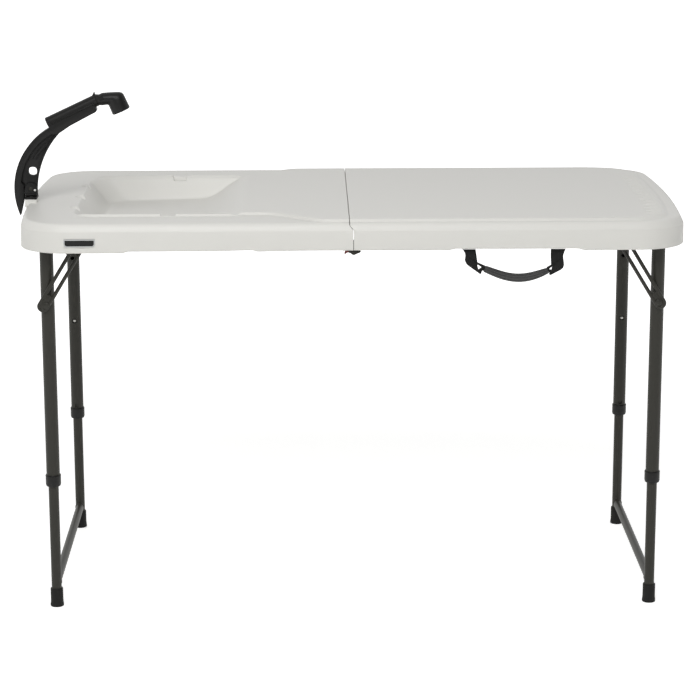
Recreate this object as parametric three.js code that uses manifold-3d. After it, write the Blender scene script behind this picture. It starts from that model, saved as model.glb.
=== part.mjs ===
// Folding fish cleaning table: two moulded halves on a centre hinge, a sink with a ramp in the
// left half, a swing-down tap on the left end, and a folding, telescoping leg frame at each end.
// Millimetres, +Z up, X along the table. The front of the table faces -Y.
import * as THREE from 'three';
import { mergeVertices } from 'three/addons/utils/BufferGeometryUtils.js';
import Module from 'manifold-3d';

const wasm = await Module();
wasm.setup();

// Whole table, standing with its legs at the middle setting
const table_length = 1232;
const table_depth = 616;
const work_height = 745;
const fit_gap = 0.3;
const cut_overrun = 6;

// Moulded halves
const skirt_depth = 54;
const skirt_wall = 11;
const panel_thickness = 17.5;
const plateau_rise = 4.5;
const plateau_inset = 15;
const plateau_chamfer = 1.5;
const shoulder_radius = 13;
const corner_radius = 88;
const end_bow = 9;
const seam_gap = 0.6;
const seam_step = 7;
const seam_step_height = 8;
const handle_recess_start = 184;
const handle_recess_end = 404;
const handle_recess_height = 4;
const handle_recess_slope = 12;

// Sink in the left half
const basin_end_margin = 101;
const basin_width = 420;
const basin_depth = 45.5;
const basin_wall = 3;
const basin_side_draft = 12;
const basin_end_draft = 37;
const basin_corner_radius = 42;
const basin_lip = 3;
const floor_rise = 6;
const ramp_foot_x = 292;
const ramp_top_x = 195;
const swoosh_start_x = 165;
const swoosh_end_x = 42;
const scallop_radius = 17;
const scallop_depth = 7;
const scallop_pitch = 125;
const rim_notch_width = 24;
const rim_notch_depth = 7;
const rim_notch_reach = 9;
const rim_notch_x = 337;

// Drain in the sink floor
const drain_x = 440;
const drain_y = -85;
const drain_hole_radius = 17;
const drain_flange_radius = 27;
const drain_flange_height = 2.5;
const drain_tail_length = 15;
const drain_nut_radius = 24;
const drain_nut_height = 5;
const drain_bore_radius = 12;
const plug_rise = 3;
const plug_knob_radius = 5;
const plug_knob_height = 5.5;

// Steel rails under the front and back edges
const rail_inset = 39.5;
const rail_sheet = 2;
const rail_height = 27;
const rail_flange = 14;
const rail_layer_gap = 0.4;
const rail_end_overhang = 14;
const hinge_ear_radius = 9;
const hinge_pin_radius = 3.5;
const pin_head_radius = 6.5;
const pin_head_height = 2;
const track_slot_length = 222;
const track_slot_end_margin = 59;
const track_slot_height = 8;

// Legs
const leg_inset = 57;
const leg_to_rail = 24;
const upper_tube_diameter = 25;
const upper_tube_wall = 1.5;
const upper_tube_length = 475.5;
const lower_tube_diameter = 19;
const lower_tube_wall = 1.5;
const tube_overlap = 216.3;
const pivot_rise = 15.5;
const pivot_rod_radius = 6;
const pivot_rod_wall = 1.5;
const pivot_rod_overhang = 4;
const tube_top_margin = 9;
const collar_height = 22;
const collar_wall = 1.6;
const collar_lip = 4;
const collar_sleeve_height = 16;
const collar_sleeve_wall = 0.9;
const crossbar_diameter = 16;
const crossbar_height = 45;
const foot_height = 35.5;
const foot_sole = 4;
const foot_wall = 2;
const foot_flare = 0.9;
const setting_hole_radius = 4.2;
const high_setting_drop = 178;
const low_setting_rise = 127;
const stow_setting_rise = 178;
const button_below_tube_top = 15;
const button_radius = 3.7;
const button_length = 8;

// Leg braces
const brace_length = 144.8;
const brace_pivot_drop = 123.5;
const brace_rod_radius = 3.5;
const brace_width = 22;
const brace_lug_length = 26;
const brace_lug_thickness = 6;
const brace_side_gap = 0.6;
const brace_rivet_radius = 3.5;
const brace_rivet_head_radius = 6.5;
const brace_rivet_head_height = 2.2;
const brace_pin_radius = 3;

// Tap arm and its bracket on the left end
const tap_y = -65;
const tap_overhang = 18;
const arm_thickness = 22;
const arm_web_thickness = 9;
const arm_outer_radius = 131.7;
const arm_inner_radius = 165;
const arm_inner_shift = 75.5;
const arm_inner_drop = 7.5;
const arm_centre_rise = 25.5;
const arm_band_width = 15;
const arm_flange_width = 3.5;
const arm_hook_drop = 51;
const arm_hook_in = 15;
const arm_cable_hole_radius = 7.8;
const arm_cable_hole_rise = 35;
const arm_pivot_radius = 12;
const arm_pivot_rise = 19;
const arm_pivot_inset = 13;
const bracket_cheek = 4;
const bracket_base_height = 3.6;
const bracket_base_length = 36;
const bracket_base_width = 34;
const boss_height = 7;
const boss_margin = 3;
const arm_pin_radius = 3;
const tube_tilt_deg = 23.6;
const tap_tube_length = 103.6;
const tap_tube_radius = 10.7;
const tap_tube_bore = 8.2;
const tap_tube_start_x = 50;
const tap_tube_start_rise = 147.5;
const saddle_depth_start = 23;
const saddle_depth_end = 17.5;
const head_neck_radius = 12.5;
const head_neck_length = 34;
const head_spout_radius = 16;
const head_spout_length = 27;
const head_spout_tilt_deg = 65.7;
const head_bore = 9;
const spray_face_thickness = 3;
const spray_face_inset = 2;
const spray_hole_radius = 1.6;
const spray_hole_count = 6;
const lever_length = 12;
const lever_width = 7;
const lever_thickness = 2.5;
const lever_pivot_radius = 3.4;

// Carry handle in the front of the right half
const strap_width = 24.5;
const strap_thickness = 2;
const strap_left_x = 208;
const strap_right_x = 368;
const strap_anchor_height = 24;
const strap_drop = 52;
const strap_reach = 22;
const strap_pivot_below_skirt = 2;
const grip_diameter = 14;
const grip_end_diameter = 10;
const grip_end_rise = 10;
const grip_sag = 15;

// Latch beside the front hinge
const latch_height = 7;
const latch_sheet = 2.4;
const latch_grip_length = 7;
const latch_pin_radius = 2;

// Smoothness
const corner_steps = 7;
const bow_steps = 8;
const shoulder_steps = 3;
const ramp_steps = 9;
const swoosh_steps = 8;
const grip_stations = 10;
const arc_sides = 48;
const tube_sides = 16;
const small_sides = 12;
const hole_sides = 8;

// Heights and places that follow from the sizes above
const half_length = table_length / 2;
const half_depth = table_depth / 2;
const skirt_z = work_height - skirt_depth;
const rim_z = work_height - plateau_rise;
const ceiling_z = rim_z - panel_thickness;
const basin_floor_z = rim_z - basin_depth;
const hinge_z = skirt_z;
const pivot_z = skirt_z + pivot_rise;
const leg_x = half_length - leg_inset;
const rail_offset = half_depth - rail_inset;
const leg_y = rail_offset - leg_to_rail;
const track_slot_end = leg_x - track_slot_end_margin;
const track_slot_start = track_slot_end - track_slot_length;
const brace_pivot_z = pivot_z - brace_pivot_drop;

// Solids and cuts

function solid_of(geometry) {
  const bare = geometry.clone();
  bare.deleteAttribute('normal');
  bare.deleteAttribute('uv');
  const merged = mergeVertices(bare);
  const vertProperties = Float32Array.from(merged.attributes.position.array);
  const triVerts = Uint32Array.from(merged.index.array);
  return new wasm.Manifold(new wasm.Mesh({ numProp: 3, vertProperties, triVerts }));
}

function geometry_of(solid) {
  const mesh = solid.getMesh();
  const stride = mesh.numProp;
  const count = mesh.vertProperties.length / stride;
  const positions = new Float32Array(count * 3);
  for (let i = 0; i < count; i++) {
    for (let k = 0; k < 3; k++) positions[3 * i + k] = mesh.vertProperties[stride * i + k];
  }
  const geometry = new THREE.BufferGeometry();
  geometry.setAttribute('position', new THREE.BufferAttribute(positions, 3));
  geometry.setIndex(new THREE.BufferAttribute(Uint32Array.from(mesh.triVerts), 1));
  return geometry;
}

function joined(...geometries) {
  return geometry_of(geometries.map(solid_of).reduce((a, b) => a.add(b)));
}

function cut(geometry, ...cutters) {
  return geometry_of(cutters.map(solid_of).reduce((a, b) => a.subtract(b), solid_of(geometry)));
}

function common(first, second) {
  return geometry_of(solid_of(first).intersect(solid_of(second)));
}

// A closed body through rings of the same number of points, capped at its first and last ring
function loft(rings) {
  const size = rings[0].length;
  const positions = rings.flat().flatMap((p) => [p.x, p.y, p.z]);
  const index = [];
  for (let r = 0; r + 1 < rings.length; r++) {
    for (let i = 0; i < size; i++) {
      const j = (i + 1) % size;
      const low = r * size;
      const high = low + size;
      index.push(low + i, low + j, high + j, low + i, high + j, high + i);
    }
  }
  const flat = rings[0].map((p) => new THREE.Vector2(p.x, p.y));
  const last = (rings.length - 1) * size;
  for (const [a, b, c] of THREE.ShapeUtils.triangulateShape(flat, [])) {
    index.push(a, c, b, last + a, last + b, last + c);
  }
  const geometry = new THREE.BufferGeometry();
  geometry.setAttribute('position', new THREE.BufferAttribute(new Float32Array(positions), 3));
  geometry.setIndex(index);
  return geometry;
}

function ring_at(points, z) {
  return points.map(([x, y]) => new THREE.Vector3(x, y, z));
}

function outline(points) {
  return new THREE.Shape(points.map(([x, y]) => new THREE.Vector2(x, y)));
}

// An outline drawn in X and Z, made solid from y_low to y_high
function slab_along_y(shape, y_low, y_high, curve_steps = small_sides) {
  const depth = y_high - y_low;
  const geometry = new THREE.ExtrudeGeometry(shape, { depth, bevelEnabled: false, curveSegments: curve_steps });
  return geometry.rotateX(Math.PI / 2).translate(0, y_high, 0);
}

function block(x_low, x_high, y_low, y_high, z_low, z_high) {
  const geometry = new THREE.BoxGeometry(x_high - x_low, y_high - y_low, z_high - z_low);
  return geometry.translate((x_low + x_high) / 2, (y_low + y_high) / 2, (z_low + z_high) / 2);
}

function bar_along_y(x, z, radius, y_low, y_high, sides = small_sides) {
  const geometry = new THREE.CylinderGeometry(radius, radius, y_high - y_low, sides);
  return geometry.translate(x, (y_low + y_high) / 2, z);
}

function bar_along_z(x, y, radius, z_low, z_high, sides = tube_sides) {
  const geometry = new THREE.CylinderGeometry(radius, radius, z_high - z_low, sides).rotateX(Math.PI / 2);
  return geometry.translate(x, y, (z_low + z_high) / 2);
}

function bar_between(start, end, radius, sides = small_sides, end_radius = radius) {
  const along = new THREE.Vector3().subVectors(end, start);
  const geometry = new THREE.CylinderGeometry(end_radius, radius, along.length(), sides);
  const turn = new THREE.Quaternion().setFromUnitVectors(new THREE.Vector3(0, 1, 0), along.normalize());
  const middle = new THREE.Vector3().addVectors(start, end).multiplyScalar(1 / 2);
  return geometry.applyQuaternion(turn).translate(middle.x, middle.y, middle.z);
}

// A turned part on a vertical axis, from pairs of radius and height that close on themselves
function turned(profile, x, y, sides = tube_sides) {
  const points = [...profile, profile[0]].map(([r, z]) => new THREE.Vector2(r, z));
  return new THREE.LatheGeometry(points, sides).rotateX(Math.PI / 2).translate(x, y, 0);
}

// A copy on the chosen side in X and Y, with its faces turned back out where one mirror is left
function reflected(geometry, x_sign, y_sign) {
  const copy = geometry.clone().scale(x_sign, y_sign, 1);
  const index = copy.index.array;
  if (x_sign * y_sign > 0) return copy;
  for (let i = 0; i < index.length; i += 3) [index[i], index[i + 1]] = [index[i + 1], index[i]];
  return copy;
}

function smooth_step(t) {
  const s = Math.min(1, Math.max(0, t));
  return s * s * (3 - 2 * s);
}

function steps_to(count) {
  return Array.from({ length: count + 1 }, (_, i) => i / count);
}

// Moulded halves

// Plan of the right half, set in from the skirt, from the seam round the outer end and back
function half_plan(inset, start_x) {
  const radius = corner_radius - inset;
  const centre_x = half_length - end_bow - corner_radius;
  const centre_y = half_depth - corner_radius;
  const front_corner = steps_to(corner_steps).map((t) => {
    const turn = (t - 1) * Math.PI / 2;
    return [centre_x + radius * Math.cos(turn), -centre_y + radius * Math.sin(turn)];
  });
  const bow = steps_to(bow_steps).slice(1, -1).map((t) => {
    const side = 2 * t - 1;
    return [centre_x + radius + end_bow * (1 - side * side), side * centre_y];
  });
  const back_corner = front_corner.map(([x, y]) => [x, -y]).reverse();
  return [[start_x, inset - half_depth], ...front_corner, ...bow, ...back_corner, [start_x, half_depth - inset]];
}

function shell_rings(start_x) {
  const shoulder = steps_to(shoulder_steps).map((t) => {
    const turn = t * Math.PI / 2;
    const inset = shoulder_radius * (1 - Math.cos(turn));
    return ring_at(half_plan(inset, start_x), rim_z - shoulder_radius * (1 - Math.sin(turn)));
  });
  return [ring_at(half_plan(0, start_x), skirt_z), ...shoulder];
}

// The plateau is the raised cutting surface. Its rings stand on a given plan.
function plateau_rings(plan_at) {
  return [
    ring_at(plan_at(0), rim_z - cut_overrun),
    ring_at(plan_at(0), work_height - plateau_chamfer),
    ring_at(plan_at(plateau_chamfer), work_height),
  ];
}

// Everything on the far side of the stepped seam, for cutting a half to its edge
function seam_cutter(half_gap, far_x) {
  const skirt_seam = half_gap;
  const top_seam = half_gap - seam_step;
  const step_top = rim_z - plateau_rise;
  const line = [
    [skirt_seam, skirt_z - cut_overrun],
    [skirt_seam, step_top - seam_step_height],
    [top_seam, step_top],
    [top_seam, work_height + cut_overrun],
  ];
  const far = [[far_x, work_height + cut_overrun], [far_x, skirt_z - cut_overrun]];
  return slab_along_y(outline([...line, ...far]), -half_depth - cut_overrun, half_depth + cut_overrun);
}

function handle_recess(side) {
  const low = skirt_z - cut_overrun;
  const high = skirt_z + handle_recess_height;
  const points = [
    [handle_recess_start - handle_recess_slope, low],
    [handle_recess_end + handle_recess_slope, low],
    [handle_recess_end + handle_recess_slope, skirt_z],
    [handle_recess_end, high],
    [handle_recess_start, high],
    [handle_recess_start - handle_recess_slope, skirt_z],
  ].map(([x, z]) => [side * x, z]);
  return slab_along_y(outline(points), -half_depth - cut_overrun, cut_overrun + skirt_wall - half_depth);
}

function half_shell() {
  const start_x = -seam_step - cut_overrun;
  const cavity_plan = half_plan(skirt_wall, start_x - cut_overrun);
  const cavity = loft([ring_at(cavity_plan, skirt_z - cut_overrun), ring_at(cavity_plan, ceiling_z)]);
  return cut(loft(shell_rings(start_x)), cavity);
}

function right_top() {
  const start_x = -seam_step - cut_overrun;
  const plateau = loft(plateau_rings((inset) => half_plan(plateau_inset + inset, start_x)));
  const far_x = start_x - 2 * cut_overrun;
  return cut(joined(half_shell(), plateau), seam_cutter(seam_gap / 2, far_x), handle_recess(1));
}

// On the left half the plateau narrows in a swoosh to the width of the sink's ramp
function swoosh_plan(inset) {
  const wide = half_depth - plateau_inset - inset;
  const narrow = basin_width / 2 - inset;
  const end_x = -(ramp_top_x + 2 * plateau_inset);
  const curve = steps_to(swoosh_steps).map((t) => {
    const x = -swoosh_end_x - t * (swoosh_start_x - swoosh_end_x);
    return [x, wide + (narrow - wide) * smooth_step(t)];
  });
  const back = [[cut_overrun, wide], ...curve, [end_x, narrow]];
  return [...back, ...back.map(([x, y]) => [x, -y]).reverse()];
}

// Sink floor and ramp as seen from the front, from the outer end to the cutting surface
function ramp_line(lowered) {
  const floor_start = -(half_length - basin_end_margin + cut_overrun);
  const ramp = steps_to(ramp_steps).map((t) => {
    const x = -ramp_foot_x + t * (ramp_foot_x - ramp_top_x);
    const z = basin_floor_z + floor_rise + (work_height - basin_floor_z - floor_rise) * smooth_step(t);
    return [x, z - lowered];
  });
  return [[floor_start - cut_overrun, basin_floor_z - lowered], ...ramp];
}

// Plan of the sink, drawn out by a wall, at a share of its depth
function basin_plan(wall, depth_share) {
  const end_x = -(half_length - basin_end_margin) + basin_end_draft * depth_share - wall;
  const half = basin_width / 2 - basin_side_draft * depth_share + wall;
  const radius = basin_corner_radius + wall;
  const corner = steps_to(corner_steps).map((t) => {
    const turn = Math.PI / 2 * (1 + t);
    return [end_x + radius + radius * Math.cos(turn), half - radius + radius * Math.sin(turn)];
  });
  const back = [[-swoosh_end_x, half], ...corner];
  return [...back, ...back.map(([x, y]) => [x, -y]).reverse()];
}

function basin_form(wall, top_z) {
  const line = ramp_line(wall);
  const [last_x] = line[line.length - 1];
  const high = work_height + 2 * cut_overrun;
  const [first_x] = line[0];
  const profile = [...line, [last_x + cut_overrun, high], [first_x, high]];
  const lengthwise = slab_along_y(outline(profile), -half_depth, half_depth);
  const lip = wall > 0 ? 0 : basin_lip;
  const lip_share = basin_lip / basin_depth;
  const deep_share = 1 + cut_overrun / basin_depth;
  const upright = loft([
    ring_at(basin_plan(wall, deep_share), rim_z - basin_depth * deep_share),
    ring_at(basin_plan(wall, lip_share), rim_z - basin_lip),
    ring_at(basin_plan(wall + lip, 0), rim_z),
    ring_at(basin_plan(wall + lip, 0), top_z),
  ]);
  return common(lengthwise, upright);
}

function rim_scallops() {
  const x = -(half_length - basin_end_margin);
  const sink = scallop_radius - scallop_depth;
  return [-1, 0, 1].map((k) => {
    const ball = new THREE.SphereGeometry(scallop_radius, small_sides, hole_sides);
    return ball.translate(x, k * scallop_pitch, rim_z + sink);
  });
}

function rim_notches() {
  const half = rim_notch_width / 2;
  const start = basin_width / 2 - cut_overrun;
  const end = basin_width / 2 + rim_notch_reach;
  const low = rim_z - rim_notch_depth;
  return [-1, 1].map((side) => {
    const [y_low, y_high] = side < 0 ? [-end, -start] : [start, end];
    return block(-rim_notch_x - half, -rim_notch_x + half, y_low, y_high, low, rim_z + cut_overrun);
  });
}

// Raised pad on the left rim under the tap's bracket
function bracket_boss() {
  const middle = arm_pivot_x();
  const half_x = bracket_base_length / 2 + boss_margin - arm_pivot_inset / 2;
  const half_y = bracket_base_width / 2 + boss_margin;
  return block(middle - half_x + boss_margin, middle + half_x, tap_y - half_y, tap_y + half_y,
    rim_z - cut_overrun, rim_z + boss_height);
}

function left_top() {
  const plateau = loft(plateau_rings(swoosh_plan));
  const far_x = seam_step + 4 * cut_overrun;
  const bulge = common(basin_form(basin_wall, rim_z + cut_overrun),
    block(-half_length, 0, -half_depth, half_depth, 0, rim_z - basin_wall));
  const body = joined(reflected(half_shell(), -1, 1), plateau, bulge, bracket_boss());
  const drain_hole = bar_along_z(-drain_x, drain_y, drain_hole_radius, skirt_z - cut_overrun, rim_z);
  return cut(body, basin_form(0, work_height + 2 * cut_overrun), seam_cutter(-seam_gap / 2, far_x),
    handle_recess(-1), drain_hole, drain_seat_cutter(), ...rim_scallops(), ...rim_notches());
}

// Drain

function floor_z_at(x) {
  const share = (half_length - basin_end_margin + 2 * cut_overrun - x)
    / (half_length - basin_end_margin + 2 * cut_overrun - ramp_foot_x);
  return basin_floor_z + floor_rise * share;
}

// The flange lies level in a shallow seat, as deep as the floor's slope makes it
function drain_seat_z() {
  return floor_z_at(drain_x + drain_flange_radius);
}

function drain_seat_cutter() {
  return bar_along_z(-drain_x, drain_y, drain_flange_radius + fit_gap, drain_seat_z(), rim_z);
}

function drain_fitting() {
  const seat = drain_seat_z() + fit_gap;
  const tail = drain_hole_radius - 2 * fit_gap;
  return turned([
    [drain_bore_radius, seat - drain_tail_length],
    [tail, seat - drain_tail_length],
    [tail, seat],
    [drain_flange_radius, seat],
    [drain_flange_radius - drain_flange_height, seat + drain_flange_height],
    [drain_bore_radius + drain_flange_height, seat + drain_flange_height],
    [drain_bore_radius, seat],
  ], -drain_x, drain_y);
}

function drain_nut() {
  const top = basin_floor_z - basin_wall - fit_gap;
  const ring = new THREE.Shape();
  ring.absarc(0, 0, drain_nut_radius, 0, 2 * Math.PI);
  const hole = new THREE.Path();
  hole.absarc(0, 0, drain_hole_radius - fit_gap, 0, 2 * Math.PI, true);
  ring.holes.push(hole);
  const geometry = new THREE.ExtrudeGeometry(ring, { depth: drain_nut_height, bevelEnabled: false,
    curveSegments: small_sides });
  return geometry.translate(-drain_x, drain_y, top - drain_nut_height);
}

function drain_plug() {
  const seat = drain_seat_z() + fit_gap + drain_flange_height;
  const bung = drain_bore_radius - fit_gap;
  const cap = bung + plug_rise;
  return turned([
    [0, seat - plug_rise - drain_flange_height],
    [bung - fit_gap, seat - plug_rise - drain_flange_height],
    [bung, seat + fit_gap],
    [cap, seat + fit_gap],
    [cap - fit_gap, seat + plug_rise],
    [plug_knob_radius, seat + plug_rise],
    [plug_knob_radius, seat + plug_rise + plug_knob_height],
    [0, seat + plug_rise + plug_knob_height],
  ], -drain_x, drain_y);
}

// Rails and the centre hinge

// Distance of a rail's web from the middle of the table: the right rails run outside the left ones
function rail_y(end) {
  return end < 0 ? rail_offset : rail_offset + rail_sheet + rail_layer_gap;
}

function web_outline() {
  const top = ceiling_z - fit_gap;
  const low = top - rail_height;
  const end_x = leg_x + rail_end_overhang;
  const shape = new THREE.Shape();
  const lean = Math.PI / 3;
  shape.moveTo(end_x, low + rail_sheet);
  shape.lineTo(end_x, top);
  shape.lineTo(2 * hinge_ear_radius, top);
  shape.lineTo(hinge_ear_radius * Math.cos(Math.PI - lean), hinge_z + hinge_ear_radius * Math.sin(lean));
  shape.absarc(0, hinge_z, hinge_ear_radius, Math.PI - lean, 2 * Math.PI - lean / 2, false);
  shape.lineTo(3 * hinge_ear_radius, low);
  shape.lineTo(end_x - rail_sheet, low);
  return shape;
}

function rail(end, side) {
  const inner = rail_y(end);
  const outer = inner + rail_sheet;
  const top = ceiling_z - fit_gap;
  const flange_start = 4 * hinge_ear_radius;
  const flange_end = half_length - corner_radius;
  const web = slab_along_y(web_outline(), inner, outer);
  const flange = block(flange_start, flange_end, inner, inner + rail_flange, top - rail_sheet, top);
  const reach = [inner - cut_overrun, outer + cut_overrun];
  const slot_low = pivot_z - track_slot_height / 2;
  const slot = joined(
    block(track_slot_start, track_slot_end, ...reach, slot_low, slot_low + track_slot_height),
    bar_along_y(track_slot_start, pivot_z, track_slot_height / 2, ...reach),
    bar_along_y(track_slot_end, pivot_z, track_slot_height / 2, ...reach),
  );
  const holes = [
    bar_along_y(leg_x, pivot_z, pivot_rod_radius + fit_gap, ...reach, tube_sides),
    bar_along_y(0, hinge_z, hinge_pin_radius + fit_gap, ...reach, tube_sides),
  ];
  return reflected(cut(joined(web, flange), slot, ...holes), end, side);
}

function hinge_pin(side) {
  const inner = rail_y(-1) - fit_gap;
  const outer = rail_y(1) + rail_sheet + fit_gap;
  const pin = joined(
    bar_along_y(0, hinge_z, hinge_pin_radius, inner - pin_head_height / 2, outer + pin_head_height / 2),
    bar_along_y(0, hinge_z, pin_head_radius, inner - pin_head_height, inner),
    bar_along_y(0, hinge_z, pin_head_radius, outer, outer + pin_head_height),
  );
  return reflected(pin, 1, side);
}

// The latch hangs on the front left rail just outside the sweep of the hinge ears
function latch_pivot() {
  return { x: -(hinge_ear_radius + latch_height), z: hinge_z + latch_height / 2 };
}

function latch_layer() {
  const near = -(rail_y(-1) + rail_sheet + fit_gap);
  return { near, far: near - latch_sheet };
}

function latch_lever() {
  const { x, z } = latch_pivot();
  const { near, far } = latch_layer();
  const low = hinge_z - hinge_ear_radius;
  const shape = new THREE.Shape();
  shape.moveTo(x - latch_height, z);
  shape.absarc(x, z, latch_height, Math.PI, 0, true);
  shape.lineTo(x + latch_height - fit_gap, z - latch_height / 2);
  shape.lineTo(x + latch_height / 2, low);
  shape.lineTo(x - latch_height / 2, low - fit_gap);
  const plate = slab_along_y(shape, far, near);
  return cut(plate, bar_along_y(x, z, latch_pin_radius + fit_gap, far - cut_overrun, near + cut_overrun));
}

function latch_grip() {
  const { x, z } = latch_pivot();
  const { near, far } = latch_layer();
  const low = hinge_z - hinge_ear_radius;
  const end = x - latch_height - fit_gap;
  return block(end - latch_grip_length, end, far - latch_sheet / 2, near, low, z);
}

function latch_pin() {
  const { x, z } = latch_pivot();
  const { near, far } = latch_layer();
  const back = near + fit_gap;
  return joined(
    bar_along_y(x, z, latch_pin_radius, far - fit_gap - pin_head_height / 2, back),
    bar_along_y(x, z, latch_pin_radius * 2, far - fit_gap - pin_head_height, far - fit_gap),
  );
}

// Legs

function leg_levels() {
  const upper_top = pivot_z + tube_top_margin;
  const upper_bottom = upper_top - upper_tube_length;
  const lower_bottom = foot_sole + fit_gap;
  const lower_top = upper_bottom + tube_overlap;
  const button_z = lower_top - button_below_tube_top;
  return { upper_top, upper_bottom, lower_bottom, lower_top, button_z };
}

function tube(x, y, diameter, wall, low, high) {
  const outside = bar_along_z(x, y, diameter / 2, low, high);
  return cut(outside, bar_along_z(x, y, diameter / 2 - wall, low - cut_overrun, high + cut_overrun));
}

// The holes of the height settings are in the wall that faces the other leg of the frame
function setting_holes(x, y, levels) {
  const inward = -Math.sign(y);
  const heights = [-high_setting_drop, 0, low_setting_rise, stow_setting_rise];
  const end = y + inward * upper_tube_diameter;
  return heights.map((rise) => bar_along_y(x, levels.button_z + rise, setting_hole_radius,
    Math.min(y, end), Math.max(y, end), hole_sides));
}

function upper_tube(x, y) {
  const levels = leg_levels();
  const plain = tube(x, y, upper_tube_diameter, upper_tube_wall, levels.upper_bottom, levels.upper_top);
  const across = [y - upper_tube_diameter, y + upper_tube_diameter];
  const outward = Math.sign(y) * upper_tube_diameter;
  const rivet_hole = bar_along_y(x, brace_pivot_z, brace_rivet_radius + fit_gap,
    Math.min(y, y + outward), Math.max(y, y + outward), hole_sides);
  const pivot_hole = bar_along_y(x, pivot_z, pivot_rod_radius + fit_gap, ...across, tube_sides);
  return cut(plain, pivot_hole, rivet_hole, ...setting_holes(x, y, levels));
}

function lower_tube(x, y) {
  const levels = leg_levels();
  const plain = tube(x, y, lower_tube_diameter, lower_tube_wall, levels.lower_bottom, levels.lower_top);
  const end = y - Math.sign(y) * lower_tube_diameter;
  const hole = bar_along_y(x, levels.button_z, button_radius + fit_gap,
    Math.min(y, end), Math.max(y, end), hole_sides);
  return cut(plain, hole);
}

function collar(x, y) {
  const { upper_bottom } = leg_levels();
  const bore = lower_tube_diameter / 2 + fit_gap;
  const tube_radius = upper_tube_diameter / 2 + fit_gap;
  const outer = tube_radius + collar_wall;
  const floor = upper_bottom - fit_gap;
  const bottom = floor - collar_lip;
  return turned([
    [bore, bottom],
    [outer - collar_wall, bottom],
    [outer, bottom + collar_lip],
    [outer, bottom + collar_height - collar_wall / 2],
    [tube_radius + collar_wall / 2, bottom + collar_height],
    [tube_radius, bottom + collar_height],
    [tube_radius, floor],
    [bore + collar_sleeve_wall, floor],
    [bore + collar_sleeve_wall, floor + collar_sleeve_height],
    [bore, floor + collar_sleeve_height],
  ], x, y);
}

function foot(x, y) {
  const bore = lower_tube_diameter / 2 + fit_gap;
  const outer = bore + foot_wall;
  return turned([
    [0, 0],
    [outer + foot_flare - fit_gap, 0],
    [outer + foot_flare, foot_sole / 2],
    [outer, foot_sole * 2],
    [outer, foot_height - foot_wall / 2],
    [bore + foot_wall / 2, foot_height],
    [bore, foot_height],
    [bore, foot_sole],
    [0, foot_sole],
  ], x, y);
}

function crossbar(x) {
  const reach = leg_y - lower_tube_diameter / 4;
  const radius = crossbar_diameter / 2;
  const outside = bar_along_y(x, crossbar_height, radius, -reach, reach, tube_sides);
  const inside_radius = radius - lower_tube_wall;
  const inside = bar_along_y(x, crossbar_height, inside_radius, -leg_y, leg_y, tube_sides);
  const seat = lower_tube_diameter / 2 + fit_gap;
  const seats = [-leg_y, leg_y].map((y) => bar_along_z(x, y, seat, 0, 2 * crossbar_height));
  return cut(outside, inside, ...seats);
}

function pivot_rod(x) {
  const reach = rail_y(1) + rail_sheet + pivot_rod_overhang;
  const outside = bar_along_y(x, pivot_z, pivot_rod_radius, -reach, reach, tube_sides);
  const bore = pivot_rod_radius - pivot_rod_wall;
  return cut(outside, bar_along_y(x, pivot_z, bore, -reach - cut_overrun, reach + cut_overrun));
}

// A spring button sits in the wall of the lower tube, the edges of its flat face just inside the
// round wall of the upper tube
function spring_button(x, y) {
  const { button_z } = leg_levels();
  const inward = -Math.sign(y);
  const bore = upper_tube_diameter / 2 - upper_tube_wall;
  const face = y + inward * (Math.sqrt(bore ** 2 - button_radius ** 2) - fit_gap);
  const back = face - inward * button_length;
  return bar_along_y(x, button_z, button_radius, Math.min(face, back), Math.max(face, back), hole_sides);
}

// Braces

// The brace's own direction, from its rivet on the leg up to its pin in the rail's slot
function brace_direction(end) {
  const rise = brace_pivot_drop / brace_length;
  return new THREE.Vector3(-end * Math.sqrt(1 - rise * rise), 0, rise);
}

function brace(end, side) {
  const along = brace_direction(end);
  const across = new THREE.Vector3(along.z, 0, -along.x);
  const near = leg_y + upper_tube_diameter / 2 + brace_side_gap;
  const middle = side * (near + brace_rod_radius);
  const foot_point = new THREE.Vector3(end * leg_x, middle, brace_pivot_z);
  const head_point = foot_point.clone().addScaledVector(along, brace_length);
  const spread = brace_width / 2 - brace_rod_radius;
  const rods = [-1, 1].map((k) => bar_between(
    foot_point.clone().addScaledVector(across, k * spread),
    head_point.clone().addScaledVector(across, k * spread), brace_rod_radius, hole_sides));
  const lug = lug_plate(foot_point, along, across, brace_lug_length, brace_width / 2, side * near);
  const cap = lug_plate(head_point, along.clone().negate(), across, brace_lug_length / 2, brace_width / 2,
    side * near);
  const rivet_reach = [middle - brace_width, middle + brace_width];
  const hole = bar_along_y(end * leg_x, brace_pivot_z, brace_rivet_radius + fit_gap, ...rivet_reach, hole_sides);
  const pin_tip = side * (rail_y(-1) - fit_gap);
  const pin = bar_along_y(head_point.x, head_point.z, brace_pin_radius, Math.min(middle, pin_tip),
    Math.max(middle, pin_tip), hole_sides);
  return cut(joined(...rods, lug, cap, pin), hole);
}

// A flat plate with one round end, standing across the brace
function lug_plate(centre, along, across, length, radius, near_y) {
  const angle = Math.atan2(along.z, along.x);
  const shape = new THREE.Shape();
  const corner = (s) => {
    const p = centre.clone().addScaledVector(along, length).addScaledVector(across, s * radius);
    return [p.x, p.z];
  };
  const left = Math.atan2(-across.z, -across.x);
  shape.moveTo(...corner(-1));
  shape.lineTo(...corner(1));
  const turn_back = Math.sin(left - angle) < 0;
  shape.absarc(centre.x, centre.z, radius, left + Math.PI, left, !turn_back);
  const far_y = near_y + Math.sign(near_y) * brace_lug_thickness;
  return slab_along_y(shape, Math.min(near_y, far_y), Math.max(near_y, far_y));
}

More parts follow.
